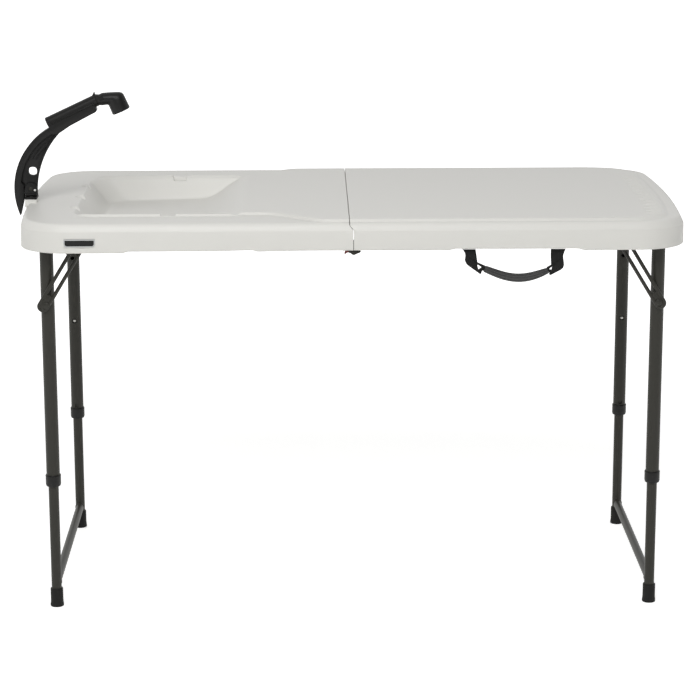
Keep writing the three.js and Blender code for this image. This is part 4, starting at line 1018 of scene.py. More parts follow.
for end_name, end, body in (("left", -1, "base"), ("right", 1, "right_half")):
    for side_name in ("front", "back"):
        node = f"{end_name}_{side_name}_rail"
        web, flange = rail_parts(node, end)
        finish_piece(web, body, [node], powder_coat)
        finish_piece(flange, body, [node], powder_coat)
print_made("rails")

# %% [markdown]
# The hinge pins are plain rods headed over at both ends. A pin is turned from a profile, whose
# dome is a quarter of an ellipse.

# %% Hinge pins
def headed_pin(node, shank, head, head_height):
    """A pin along Y with a dome at each end. shank and head are radii."""
    low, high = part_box(node)
    middle = (low + high) / 2
    length = high.y - low.y
    start = Vector((middle.x, low.y, middle.z))
    dome = [(head * math.cos(t), head_height * (1 - math.sin(t))) for t in np.linspace(math.pi / 2, 0.25, 6)]
    profile = [(0, 0), *dome[1:], (head, head_height), (shank, head_height), (shank, length - head_height)]
    profile += [(head, length - head_height), *[(r, length - h) for r, h in dome[:0:-1]], (0, length)]
    return turned(node + "_turned", start, (0, 1, 0), profile, 32)


for side_name, _ in SIDES:
    node = f"{side_name}_hinge_pin"
    pin = headed_pin(node, shank=3.5 * MM, head=6.5 * MM, head_height=2 * MM)
    finish_piece(pin, "base", [node], powder_coat)
print_made("hinge pins")

# %% [markdown]
# The latch under the front of the seam is a small black lever with a red end to press with a finger.
# A leaf of the right rail covers the hinge's ears beside it. Their outlines were read from the photo.

# %% Latch
latch_low, latch_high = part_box("latch_lever")
pivot = middle_of("latch_pin")
LATCH_BORE = 2.3 * MM
LEVER_ROUND = 6.9 * MM
lever_outline = arc((pivot.x, pivot.z), LEVER_ROUND, math.pi, 0, 18)
lever_foot = HINGE_Z - 7 * MM
lever_outline += [(latch_high.x - 0.1 * MM, pivot.z - 3 * MM), (pivot.x + 4.5 * MM, lever_foot + 1.5 * MM),
                  (pivot.x + 2 * MM, lever_foot), (pivot.x - 3 * MM, lever_foot + 0.2 * MM)]
lever_hole = round_hole(pivot.x, pivot.z, LATCH_BORE, 16)
lever = plate("latch_lever_plate", lever_outline, latch_low.y, latch_high.y, 0.4 * MM, [lever_hole])
finish_piece(lever, "latch", ["latch_lever"], nylon)
grip_low, grip_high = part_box("latch_grip")
# The tab's corners, in mm from the hinge pin
GRIP_TAB = [(-8.5, -4.5), (-8.2, -9.6), (-11.5, -10.6), (-14.4, -12.9), (-16.3, -12.7), (-16.2, -10.3),
            (-14.8, -7), (-13, -4.5)]
grip_outline = [(HINGE_X + x * MM, HINGE_Z + z * MM) for x, z in GRIP_TAB]
latch_grip = plate("latch_grip_tab", grip_outline, grip_low.y, grip_high.y, 0.7 * MM)
finish_piece(latch_grip, "latch", ["latch_grip"], red_plastic)
# The leaf's corners, in mm from the hinge pin
HINGE_LEAF = [(-8.8, -4), (-9, -8.4), (-5.5, -9.4), (-2, -12), (0.2, -12.8), (2.5, -12.3), (7.5, -10),
              (12.6, -8), (13.4, -6), (12, -4)]
leaf_outline = [(HINGE_X + x * MM, HINGE_Z + z * MM) for x, z in HINGE_LEAF]
rail_low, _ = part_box("right_front_rail")
leaf_front = rail_low.y + 0.2 * MM
leaf = plate("front_hinge_leaf", leaf_outline, leaf_front, leaf_front + RAIL_SHEET, 0.4 * MM)
finish_piece(leaf, "right_half", (), powder_coat)
pin_low, pin_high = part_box("latch_pin")
pin_length = pin_high.y - pin_low.y
pin_profile = in_mm([(0, 0), (3.2, 0.15), (3.9, 0.9), (3.9, 1.9), (2, 1.9)])
pin_profile += [(2 * MM, pin_length), (0, pin_length)]
latch_pin = turned("latch_pin_turned", (pivot.x, pin_low.y, pivot.z), (0, 1, 0), pin_profile, 24)
finish_piece(latch_pin, "base", ["latch_pin"], powder_coat)
print_made("latch")

# %% [markdown]
# ## Legs
# Round steel tubes that telescope. Each outer tube has a row of setting holes and an oval one on
# its inner side, the inner tube carries a spring button, and a nylon collar closes the joint. The
# tubes' ends are deburred. The holes are punched through one wall only, so they are cut by short
# cutters that start on the tube's middle line.

# %% Leg tubes
DEBURRED = 0.3 * MM


def pipe(name, node, wall, holes=()):
    """An upright tube that fills a node's box, with holes cut by the cutters given."""
    low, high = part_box(node)
    radius = (high.x - low.x) / 2
    length = high.z - low.z
    edge = DEBURRED
    profile = [(radius - wall, 0), (radius - edge, 0), (radius, edge), (radius, length - edge),
               (radius - edge, length), (radius - wall, length), (radius - wall, 0)]
    middle = (low + high) / 2
    tube = turned(name, (middle.x, middle.y, low.z), (0, 0, 1), profile, 48)
    return cut_away(tube, *holes) if holes else tube


def hole_along_y(x, z, radius, y_from, y_to):
    """A round cutter."""
    return turned("hole", (x, y_from, z), (0, y_to - y_from, 0), bar_profile(radius, abs(y_to - y_from)), 32)


TUBE_WALL = 1.5 * MM
SETTING_STEPS = [-178 * MM, 0, 178 * MM]
SETTING_RADIUS = 4.2 * MM
BUTTON_HOLE = 4 * MM
# The oval hole's place above the button, and half its width and height
OVAL_STEP = 130.5 * MM
OVAL_HALF_WIDTH = 5 * MM
OVAL_HALF_HEIGHT = 3.6 * MM
# How far a cutter reaches from the tube's middle line
CUTTER_REACH = 20 * MM

for end_name, end in ENDS:
    for side_name, side in SIDES:
        corner = f"{end_name}_{side_name}"
        leg = middle_of(corner + "_upper_tube")
        button = middle_of(corner + "_button")
        inward = leg.y - side * CUTTER_REACH
        outward = leg.y + side * CUTTER_REACH
        cutters = [hole_along_y(leg.x, button.z + step, SETTING_RADIUS, leg.y, inward)
                   for step in SETTING_STEPS]
        oval = [(leg.x + OVAL_HALF_WIDTH * math.cos(t),
                 button.z + OVAL_STEP + OVAL_HALF_HEIGHT * math.sin(t))
                for t in np.linspace(0, 2 * math.pi, 28, endpoint=False)]
        cutters.append(plate("hole", oval, min(leg.y, inward), max(leg.y, inward), 0))
        cutters.append(hole_along_y(leg.x, PIVOT_Z, PIVOT_HOLE, leg.y - CUTTER_REACH, leg.y + CUTTER_REACH))
        rivet = middle_of(corner + "_rivet")
        cutters.append(hole_along_y(leg.x, rivet.z, PIN_HOLE, leg.y, outward))
        upper = pipe(corner + "_outer_tube", corner + "_upper_tube", TUBE_WALL, cutters)
        finish_piece(upper, end_name + "_legs", [corner + "_upper_tube"], powder_coat)
        button_hole = hole_along_y(leg.x, button.z, BUTTON_HOLE, leg.y, inward)
        lower = pipe(corner + "_inner_tube", corner + "_lower_tube", TUBE_WALL, [button_hole])
        finish_piece(lower, end_name + "_lower_legs", [corner + "_lower_tube"], powder_coat)
print_made("leg tubes")

# %% [markdown]
# Collars are moulded nylon rings with a soft lip on top and a tapered lower end. Feet are rubber
# caps pushed on the tube, with a rounded sole.

# %% Collars and feet
def collar_profile(height, radius, bore, lip):
    """A ring that hugs the inner tube below lip and the outer tube above it."""
    return [(bore, 0), (radius - 1.9 * MM, 0), (radius - 1.1 * MM, 0.6 * MM), (radius - 0.1 * MM, lip),
            (radius - 0.1 * MM, height - 4.2 * MM), (radius, height - 3.4 * MM), (radius, height - 1 * MM),
            (radius - 0.5 * MM, height - 0.2 * MM), (radius - 1.2 * MM, height),
            (radius - 1.6 * MM, height - 0.2 * MM), (radius - 1.6 * MM, lip),
            (bore + 0.9 * MM, lip), (bore, lip), (bore, 0)]


def foot_profile(height, radius, bore, sole):
    """A cap with a rounded edge, a tread groove under its sole and a bore for the tube."""
    rise = [(radius * 0.55, 0), (radius * 0.62, 0.8 * MM), (radius * 0.7, 0)]
    edge = [(radius - 1.6 * MM * (1 - math.sin(t)), 1.6 * MM * (1 - math.cos(t)))
            for t in np.linspace(0, math.pi / 2, 5)]
    body = [(radius - 0.05 * MM, 4 * MM), (radius - 0.7 * MM, 8 * MM), (radius - 0.9 * MM, 12 * MM),
            (radius - 0.9 * MM, height - 1.4 * MM), (radius - 1.3 * MM, height - 0.4 * MM),
            (radius - 2.2 * MM, height), (bore, height), (bore, sole), (0, sole)]
    return [(0, 0), *rise, *edge, *body]


COLLAR_LIP = 4 * MM
FOOT_SOLE = 4 * MM
BORE_CLEARANCE = 0.3 * MM
for end_name, _ in ENDS:
    for side_name, _ in SIDES:
        corner = f"{end_name}_{side_name}"
        low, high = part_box(corner + "_collar")
        middle = (low + high) / 2
        tube_low, tube_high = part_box(corner + "_lower_tube")
        bore = (tube_high.x - tube_low.x) / 2 + BORE_CLEARANCE
        shape = collar_profile(high.z - low.z, (high.x - low.x) / 2, bore, COLLAR_LIP)
        collar = turned(corner + "_collar_ring", (middle.x, middle.y, low.z), (0, 0, 1), shape)
        finish_piece(collar, end_name + "_legs", [corner + "_collar"], nylon)
        low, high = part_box(corner + "_foot")
        shape = foot_profile(high.z - low.z, (high.x - low.x) / 2, bore, FOOT_SOLE)
        foot = turned(corner + "_foot_cap", (middle.x, middle.y, low.z), (0, 0, 1), shape)
        finish_piece(foot, end_name + "_lower_legs", [corner + "_foot"], rubber)
print_made("collars and feet")

# %% [markdown]
# Each lower frame is tied by a welded crossbar, and the upper tubes hang on a pivot rod. Spring
# buttons have a domed zinc face that shows in the setting hole.

# %% Crossbars, pivot rods and buttons
# A weld bead starts on the inner side of its leg, this far from the leg's middle line
WELD_START = 12.2 * MM
BUTTON_DOME = 1.2 * MM
for end_name, _ in ENDS:
    low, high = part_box(end_name + "_crossbar")
    middle = (low + high) / 2
    radius = (high.z - low.z) / 2
    bar = turned(end_name + "_crossbar_tube", (middle.x, low.y, middle.z), (0, 1, 0),
                 bar_profile(radius, high.y - low.y))
    finish_piece(bar, end_name + "_lower_legs", [end_name + "_crossbar"], powder_coat)
    for side_name, side in SIDES:
        leg = middle_of(f"{end_name}_{side_name}_lower_tube")
        start = (leg.x, leg.y - side * WELD_START, middle.z)
        bead_profile = [(radius - 0.2 * MM, 0), (radius + 1.1 * MM, 1.2 * MM), (radius + 1.9 * MM, 4 * MM),
                        (radius + 1.2 * MM, 6 * MM), (radius - 0.2 * MM, 6 * MM), (radius - 0.2 * MM, 0)]
        bead = turned(f"{end_name}_{side_name}_weld", start, (0, side, 0), bead_profile, 32, 60)
        finish_piece(bead, end_name + "_lower_legs", (), powder_coat)
    low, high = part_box(end_name + "_pivot_rod")
    middle = (low + high) / 2
    radius = (high.z - low.z) / 2
    bore = radius - TUBE_WALL
    rod = turned(end_name + "_pivot_rod_tube", (middle.x, low.y, middle.z), (0, 1, 0),
                 [(bore, 0), (radius, 0), (radius, high.y - low.y), (bore, high.y - low.y), (bore, 0)])
    finish_piece(rod, end_name + "_legs", [end_name + "_pivot_rod"], powder_coat)
    for side_name, side in SIDES:
        node = f"{end_name}_{side_name}_button"
        low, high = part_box(node)
        face = low.y if side > 0 else high.y
        length = high.y - low.y
        radius = (high.z - low.z) / 2
        dome = [(radius * math.sin(t), BUTTON_DOME * (1 - math.cos(t)))
                for t in np.linspace(0, math.pi / 2, 7)]
        button = turned(node + "_pin", ((low.x + high.x) / 2, face, (low.z + high.z) / 2), (0, side, 0),
                        [*dome, (radius, length), (0, length)], 28)
        finish_piece(button, node, [node], zinc)
print_made("crossbars, pivot rods and buttons")

# %% [markdown]
# A brace is one steel rod bent to a long U. Its round end is riveted to the leg with a pressed plate
# between the rods, and its other end is closed by a small plate whose pin runs in the rail's slot.

# %% Braces
ROD_RADIUS = 3.5 * MM
BRACE_HALF = 11 * MM
BRACE_LENGTH = 144.8 * MM
BRACE_DROP = 123.5 * MM
PLATE_INSET = 0.4 * MM
LUG_THICKNESS = 6 * MM
# How far the two plates of a brace reach from the rivet and from the pin, and how much narrower
# than the brace the lower one is
FOOT_REACH = 24 * MM
HEAD_REACH = 13 * MM
FOOT_NARROWER = 1.4 * MM
PIN_RADIUS = 3 * MM
RIVET_SHANK = 3.5 * MM
RIVET_HEAD = 6.5 * MM
RIVET_DOME = 2.2 * MM
# The rods run this much outside the line from rivet to pin, and this much below it
BRACE_OUT = {"left": 7 * MM, "right": 3.8 * MM}
BRACE_BELOW = 2 * MM

for end_name, end in ENDS:
    for side_name, side in SIDES:
        corner = f"{end_name}_{side_name}"
        leg = middle_of(corner + "_upper_tube")
        rivet = middle_of(corner + "_rivet")
        low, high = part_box(corner + "_brace")
        near = low.y if side > 0 else high.y
        rod_y = near + side * ROD_RADIUS
        rise = BRACE_DROP / BRACE_LENGTH
        along = Vector((-end * math.sqrt(1 - rise * rise), 0, rise))
        across = Vector((along.z, 0, -along.x))
        foot_point = Vector((leg.x, rod_y, rivet.z))
        head_point = foot_point + along * BRACE_LENGTH
        spread = BRACE_HALF - ROD_RADIUS
        shift = Vector((end * BRACE_OUT[end_name], 0, -BRACE_BELOW))
        bend = [foot_point + shift + across * spread * math.cos(t) - along * spread * math.sin(t)
                for t in np.linspace(0, math.pi, 17)]
        path = [head_point + shift + across * spread, *bend, head_point + shift - across * spread]
        rod = swept(corner + "_brace_rod", path, circle(ROD_RADIUS, 20))
        finish_piece(rod, end_name + "_braces", [corner + "_brace"], powder_coat)
        plates = (("foot", foot_point, along, FOOT_REACH, BRACE_HALF - FOOT_NARROWER),
                  ("head", head_point, -along, HEAD_REACH, BRACE_HALF))
        for label, centre, way, length, radius in plates:
            ends = [centre + shift + way * length + across * radius * s for s in (1, -1)]
            cap = [centre + shift - across * radius * math.cos(t) - way * radius * math.sin(t)
                   for t in np.linspace(0, math.pi, 17)]
            outline = [(p.x, p.z) for p in (*ends, *cap)]
            holes = [round_hole(centre.x, centre.z, PIN_HOLE, 16)] if label == "foot" else ()
            y_pair = sorted((near + side * PLATE_INSET, near + side * (LUG_THICKNESS - PLATE_INSET * 0.3)))
            lug = plate(f"{corner}_brace_{label}_plate", outline, y_pair[0], y_pair[1], 0.6 * MM, holes)
            finish_piece(lug, end_name + "_braces", [corner + "_brace"], powder_coat)
        far_y = high.y if side > 0 else low.y
        pin = turned(corner + "_brace_pin", (head_point.x, near + side * 2 * MM, head_point.z), (0, side, 0),
                     [(0, 0), (PIN_RADIUS, 0), (PIN_RADIUS, abs(far_y - near) - 2.4 * MM),
                      (2.6 * MM, abs(far_y - near) - 2 * MM), (0, abs(far_y - near) - 2 * MM)], 24)
        finish_piece(pin, end_name + "_braces", [corner + "_brace"], powder_coat)
        low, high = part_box(corner + "_rivet")
        inner_y, outer_y = (low.y, high.y) if side > 0 else (high.y, low.y)
        length = abs(outer_y - inner_y)
        shank_end = length - RIVET_DOME
        dome = [(RIVET_HEAD * math.cos(t), shank_end + RIVET_DOME * math.sin(t))
                for t in np.linspace(0.12, math.pi / 2, 7)]
        profile = [(0, 0), (RIVET_SHANK, 0), (RIVET_SHANK, shank_end),
                   (RIVET_HEAD - 0.2 * MM, shank_end), *dome]
        head = turned(corner + "_rivet_turned", (leg.x, inner_y, rivet.z), (0, side, 0), profile, 32)
        finish_piece(head, end_name + "_legs", [corner + "_rivet"], powder_coat)
print_made("braces")

# %% [markdown]
# ## Tap
# The arm is one moulding: a crescent with a deep rim, a thinner web between, a hook below its pivot
# that rests against the table's end, and a cradle on top that carries the tap tube.

# %% Tap arm
arm_low, arm_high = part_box("tap_arm")
ARM_Y = (arm_low.y + arm_high.y) / 2
ARM_HALF = (arm_high.y - arm_low.y) / 2
WEB_HALF = 4.5 * MM
PIVOT = middle_of("arm_pin")
OUTER_RADIUS = 131.7 * MM
INNER_RADIUS = 165 * MM
OUTER_CENTRE = (arm_low.x + OUTER_RADIUS, RIM_Z + 25.5 * MM)
INNER_CENTRE = (OUTER_CENTRE[0] + 75.5 * MM, OUTER_CENTRE[1] - 7.5 * MM)
HOOK_DROP = 51 * MM
tube_low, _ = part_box("tap_tube")
TUBE_TILT = math.radians(25.0)
TUBE_RADIUS = 11.3 * MM
TUBE_ALONG = Vector((math.cos(TUBE_TILT), 0, math.sin(TUBE_TILT)))
TUBE_UP = Vector((-TUBE_ALONG.z, 0, TUBE_ALONG.x))
TUBE_LENGTH = 103.6 * MM
# The tube's node is a little thinner. Its box's corner gives the middle of the tube's lower end
NODE_RADIUS = 10.7 * MM
TUBE_CORNER = Vector((math.sin(TUBE_TILT), 0, math.cos(TUBE_TILT))) * NODE_RADIUS
TUBE_SHIFT = 2.5 * MM
TUBE_START = Vector((tube_low.x, ARM_Y, tube_low.z)) + TUBE_CORNER
TUBE_START = TUBE_START - TUBE_ALONG * TUBE_SHIFT + TUBE_UP * TUBE_SHIFT
TUBE_END = TUBE_START + TUBE_ALONG * TUBE_LENGTH
print("tube end", [round(v, 4) for v in TUBE_END], "pivot", [round(v, 4) for v in PIVOT])


def outer_point(radius_less, angle):
    """A point on the crescent's outer circle, or on a smaller one with the same centre."""
    radius = OUTER_RADIUS - radius_less
    return (OUTER_CENTRE[0] + radius * math.cos(angle), OUTER_CENTRE[1] + radius * math.sin(angle))


def inner_point(radius_more, angle):
    """A point on the crescent's inner circle, or on a larger one with the same centre."""
    radius = INNER_RADIUS + radius_more
    return (INNER_CENTRE[0] + radius * math.cos(angle), INNER_CENTRE[1] + radius * math.sin(angle))


def outer_angle(z, radius_less=0.0):
    """The angle at which the outer circle has a height."""
    return math.pi - math.asin((z - OUTER_CENTRE[1]) / (OUTER_RADIUS - radius_less))


def inner_angle(z, radius_more=0.0):
    """The angle at which the inner circle has a height."""
    return math.pi - math.asin((z - INNER_CENTRE[1]) / (INNER_RADIUS + radius_more))


def below_tube(share, depth):
    """A point in X and Z under the tube's middle line."""
    point = TUBE_START + TUBE_ALONG * TUBE_LENGTH * share - TUBE_UP * depth
    return (point.x, point.z)


def arm_plate(name, outline, half_width, rounding=1.2 * MM, holes=()):
    """A part of the arm's moulding, drawn from the front and as deep as its width."""
    piece = plate(name, outline, ARM_Y - half_width, ARM_Y + half_width, rounding, holes, 3)
    return finish_piece(piece, "tap_arm", ["tap_arm"], nylon)


def squircle(centre, radius, power=2.5, count=32):
    """The arm's hole is a circle drawn a little towards a square."""
    points = []
    for t in np.linspace(0, 2 * math.pi, count, endpoint=False):
        c, s = math.cos(t), math.sin(t)
        points.append((centre[0] + radius * math.copysign(abs(c) ** (2 / power), c),
                       centre[1] + radius * math.copysign(abs(s) ** (2 / power), s)))
    return points


BAND_WIDTH = 13 * MM
FLANGE_WIDTH = 3.5 * MM
BAND_LOW_Z = PIVOT.z + 12 * MM
# The angles, in radians, at which the crescent's two circles reach the cradle
TOP_OUTER = 2.06
TOP_INNER = 2.39
ARM_HOLE_RADIUS = 7.8 * MM
PIN_BORE = 3.3 * MM
hole_centre = (PIVOT.x + 4.3 * MM, PIVOT.z + 33 * MM)
big_hole = squircle(hole_centre, ARM_HOLE_RADIUS)

# The web keeps this much inside the crescent's outer edge
WEB_INSET = 0.6 * MM
web_outer = [outer_point(WEB_INSET, a)
             for a in np.linspace(outer_angle(BAND_LOW_Z, WEB_INSET), TOP_OUTER, 28)]
web_inner = [inner_point(-WEB_INSET, a)
             for a in np.linspace(TOP_INNER, inner_angle(PIVOT.z, -WEB_INSET), 28)]
lobe = arc((PIVOT.x, PIVOT.z), 11.9 * MM, 0.0, -math.pi, 20)
pin_hole = round_hole(PIVOT.x, PIVOT.z, PIN_BORE)
web = [*web_outer, *web_inner[:-1], *lobe]
arm_plate("tap_arm_web", web, WEB_HALF, 0.6 * MM, [big_hole, pin_hole])

hook_inner_x = PIVOT.x - 12.6 * MM
tip_z = OUTER_CENTRE[1] - HOOK_DROP
band = [outer_point(0, a) for a in np.linspace(outer_angle(tip_z), TOP_OUTER, 44)]
band += [outer_point(BAND_WIDTH, a)
         for a in np.linspace(TOP_OUTER, outer_angle(BAND_LOW_Z, BAND_WIDTH), 30)]
band += [(hook_inner_x, BAND_LOW_Z - 4 * MM), (hook_inner_x - 0.2 * MM, OUTER_CENTRE[1] - 17 * MM)]
arm_plate("tap_arm_outer_band", band, ARM_HALF, 1.2 * MM)

flange_z = PIVOT.z + 24 * MM
flange = [inner_point(FLANGE_WIDTH, a)
          for a in np.linspace(inner_angle(flange_z, FLANGE_WIDTH), TOP_INNER, 26)]
flange += [inner_point(0, a) for a in np.linspace(TOP_INNER, inner_angle(flange_z), 26)]
arm_plate("tap_arm_inner_flange", flange, ARM_HALF, 0.9 * MM)
print_made("tap arm")

# %% [markdown]
# Two curved ribs stiffen the thin web near the top, where the arm carries the tube's weight.

# %% Ribs of the arm
RIB_INSETS = (19 * MM, 25 * MM)
RIB_WIDTH = 1.6 * MM
RIB_RISE = 2.2 * MM
# A rib's end angles in radians. The second rib starts a little higher up
RIB_FOOT = 2.62
RIB_TOP = 2.18
RIB_STEP = 0.03
for k, less in enumerate(RIB_INSETS):
    rib = [outer_point(less, a) for a in np.linspace(RIB_FOOT - RIB_STEP * k, RIB_TOP, 16)]
    rib += [outer_point(less + RIB_WIDTH, a) for a in np.linspace(RIB_TOP, RIB_FOOT - RIB_STEP * k, 16)]
    arm_plate(f"tap_arm_rib_{k + 1}", rib, WEB_HALF + RIB_RISE, 0.5 * MM)
print_made("ribs")

# %% [markdown]
# The cradle follows the tube's underside. It starts deep where it grows out of the crescent and
# gets shallower towards the head. A narrow lip along its upper edge stands out at both sides.

# %% Cradle and tube
CRADLE_EDGE = 3 * MM
# Shares of the tube's length at which the cradle starts and ends, and then its lip
CRADLE_START, CRADLE_END = 0.02, 0.94
LIP_SHARES = (0.05, 0.92)
LIP_DEPTHS = (1.6 * MM, 4.4 * MM)
# The cradle reaches this angle, in radians, into the crescent
CRADLE_OVERLAP = 0.02
cradle = [below_tube(CRADLE_START, CRADLE_EDGE), below_tube(CRADLE_START, TUBE_RADIUS + 0.4 * MM)]
cradle += [outer_point(0, TOP_OUTER + CRADLE_OVERLAP), outer_point(BAND_WIDTH, TOP_OUTER + CRADLE_OVERLAP)]
cradle += [inner_point(0.5 * MM, TOP_INNER + CRADLE_OVERLAP)]
# Corners of its underside in mm of X and Z, read from the photo
CRADLE_UNDERSIDE = [(-525.5, 879.6), (-518.2, 884.8), (-492.7, 898.4), (-468.2, 911.2), (-466.2, 914)]
cradle += [inner_point(0, TOP_INNER), *in_mm(CRADLE_UNDERSIDE), below_tube(CRADLE_END, CRADLE_EDGE)]
arm_plate("tap_arm_cradle", cradle, ARM_HALF + 1.3 * MM, 1.2 * MM)
cradle_lip = [below_tube(share, LIP_DEPTHS[0]) for share in LIP_SHARES]
cradle_lip += [below_tube(share, LIP_DEPTHS[1]) for share in LIP_SHARES[::-1]]
arm_plate("tap_arm_cradle_lip", cradle_lip, ARM_HALF + 2.9 * MM, 1.2 * MM)

TUBE_BORE = 8.2 * MM
tube_profile = [(TUBE_BORE, 0), (TUBE_RADIUS - 0.8 * MM, 0), (TUBE_RADIUS, 0.8 * MM),
                (TUBE_RADIUS, TUBE_LENGTH - 0.5 * MM), (TUBE_RADIUS - 0.5 * MM, TUBE_LENGTH),
                (TUBE_BORE, TUBE_LENGTH), (TUBE_BORE, 0)]
tap_tube = turned("tap_tube_pipe", TUBE_START, TUBE_ALONG, tube_profile)
finish_piece(tap_tube, "tap_arm", ["tap_tube"], nylon)
print_made("cradle and tube")

# %% [markdown]
# The spray head is one nylon elbow. Its neck turns on the tube's end, runs level and widens into a
# spout that points down. It is drawn as rings that fan round the inner corner of the bend.

# %% Spray head
# Each ring: its outer point and its inner point in X and Z, and half its width in Y, in mm
HEAD_RINGS = [((-462.5, 943.2), (-456.5, 922.5), 11.0), ((-459.5, 944.8), (-455.2, 922.6), 12.0),
              ((-455.5, 946.2), (-453.2, 923.0), 12.3), ((-445, 947.0), (-450, 923.5), 12.4),
              ((-433, 947.6), (-446.8, 923.8), 12.6), ((-424, 947.6), (-445.2, 923.2), 13.2),
              ((-419.3, 946.4), (-444.3, 921.9), 13.8), ((-416.2, 943.4), (-443.4, 919.9), 14.4),
              ((-413.4, 937.5), (-442.0, 916.4), 15.0), ((-409.0, 927.8), (-439.6, 910.6), 15.8),
              ((-405.9, 921.0), (-438.2, 907.0), 16.0), ((-405.4, 919.2), (-437.4, 905.6), 15.9),
              ((-406.3, 917.7), (-435.9, 905.0), 15.3), ((-408.4, 917.2), (-434.0, 906.2), 13.9),
              ((-410.3, 921.6), (-435.9, 910.6), 13.9)]


RING_SIDES = 40


def silhouette_ring(outer, inner, half_width):
    """An oval seen edge-on from the front, as the line from its outer to its inner point."""
    outer = Vector((outer[0] * MM, ARM_Y, outer[1] * MM))
    inner = Vector((inner[0] * MM, ARM_Y, inner[1] * MM))
    middle, reach = (outer + inner) / 2, (outer - inner) / 2
    side = Vector((0, half_width * MM, 0))
    steps = [2 * math.pi * s / RING_SIDES for s in range(RING_SIDES)]
    return [middle + reach * math.cos(a) + side * math.sin(a) for a in steps]


# The rings where the neck meets the tube: distance past the tube's end and radius, in mm
NECK_RINGS = ((0.3, 9.5), (0.3, 11.2), (0.9, 11.5))
collar_rings = []
for step, radius in NECK_RINGS:
    centre = TUBE_END + TUBE_ALONG * step * MM
    reach = TUBE_UP * radius * MM
    ends = [(p.x / MM, p.z / MM) for p in (centre + reach, centre - reach)]
    collar_rings.append(silhouette_ring(ends[0], ends[1], radius))
rings = collar_rings + [silhouette_ring(*ring) for ring in HEAD_RINGS]
points = [p for ring in rings for p in ring]
faces = sheet_faces(len(rings), RING_SIDES, closed=True)
faces += [tuple(range(RING_SIDES)), tuple(range(len(points) - RING_SIDES, len(points)))]
head = mesh_object("tap_head_elbow", points, faces, 50)
finish_piece(head, "tap_head", ["tap_head"], nylon)
mouth = [Vector((x * MM, ARM_Y, z * MM)) for x, z in HEAD_RINGS[-2][:2]]
outlet = (mouth[0] + mouth[1]) / 2
side_way = (mouth[0] - mouth[1]).normalized()
spout_along = side_way.cross(Vector((0, -1, 0)))
print("outlet", [round(v, 4) for v in outlet], "points down", round(spout_along.z, 2))
print_made("spray head")

# %% [markdown]
# The spray face is a pressed stainless disc with rings of fine holes, here dimples as dark as holes.
# A moulded ring marks the valve's pin on the neck, and a smaller one sits on the spout's side.

# %% Spray face and rings of the head
FACE_DEPTH = 4.2 * MM
# Rings of holes: how many, and the ring's radius
NOZZLE_RINGS = ((1, 0), (6, 3.6 * MM), (12, 7.4 * MM), (18, 11 * MM))
NOZZLE_RADIUS = 0.55 * MM
face_low = outlet - spout_along * FACE_DEPTH
face = turned("spray_face_disc", face_low, spout_along,
              in_mm([(0, 0), (13.6, 0), (13.6, 2.2), (13, 2.8), (10, 3), (0, 3)]), 48)
nozzles = []
for count, radius in NOZZLE_RINGS:
    for k in range(count):
        turn_by = 2 * math.pi * k / count
        spot = face_low + side_way * radius * math.cos(turn_by)
        spot = spot + Vector((0, 1, 0)) * radius * math.sin(turn_by)
        nozzles.append(turned("nozzle", spot + spout_along * 2.1 * MM, spout_along,
                              bar_profile(NOZZLE_RADIUS, 2 * MM), 8))
face = cut_away(face, *nozzles)
finish_piece(face, "tap_head", ["spray_face"], zinc)

# Moulded rings: name, X, Z, distance in front of the tap's middle and radius, in mm
MOULDED_RINGS = (("neck", -457.6, 937.4, 11.3, 4.6), ("spout", -414.4, 930.6, 8.4, 2.4))
for name, x, z, y_drop, size in MOULDED_RINGS:
    size *= MM
    boss = turned(f"tap_head_{name}_ring", (x * MM, ARM_Y - y_drop * MM, z * MM), (0, -1, 0),
                  [(0, 0), (size, 0), (size, 1.6 * MM), (size - 0.5 * MM, 2.1 * MM), (size * 0.62, 2.1 * MM),
                   (size * 0.55, 1.5 * MM), (0, 1.5 * MM)], 32)
    finish_piece(boss, "tap_head", (), nylon)
print_made("spray face and rings")

# %% [markdown]
# The thumb lever on the end of the tube opens the valve. It is a short upright blade on a small
# round barrel.

# %% Thumb lever
lever_low, lever_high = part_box("thumb_lever")
# The barrel's middle line, in mm of X and Z
BARREL_X, BARREL_Z = -472.6, 941.9
root = Vector((BARREL_X * MM, lever_low.y, BARREL_Z * MM))
barrel = turned("thumb_lever_barrel", root, (0, 1, 0),
                in_mm([(0, 0), (1.6, 0), (2, 0.4), (2, 6.6), (1.6, 7), (0, 7)]), 28)
finish_piece(barrel, "thumb_lever", ["thumb_lever"], nylon)
# The blade seen from the front, in mm of X and Z
BLADE = [(-474.4, 941.5), (-473.4, 944.2), (-472.3, 947.2), (-470.2, 947.4), (-469.6, 944.4), (-471, 941.2)]
blade = plate("thumb_lever_blade", in_mm(BLADE), lever_low.y + 0.1 * MM, lever_high.y - 0.1 * MM,
              0.5 * MM, (), 3)
finish_piece(blade, "thumb_lever", ["thumb_lever"], nylon)
print_made("thumb lever")

# %% [markdown]
# The bracket is bolted to a raised pad on the rim. Two cheeks with level ridges hold the arm's pin,
# a bright stud shows on each, and two pan-head screws go down through its foot.

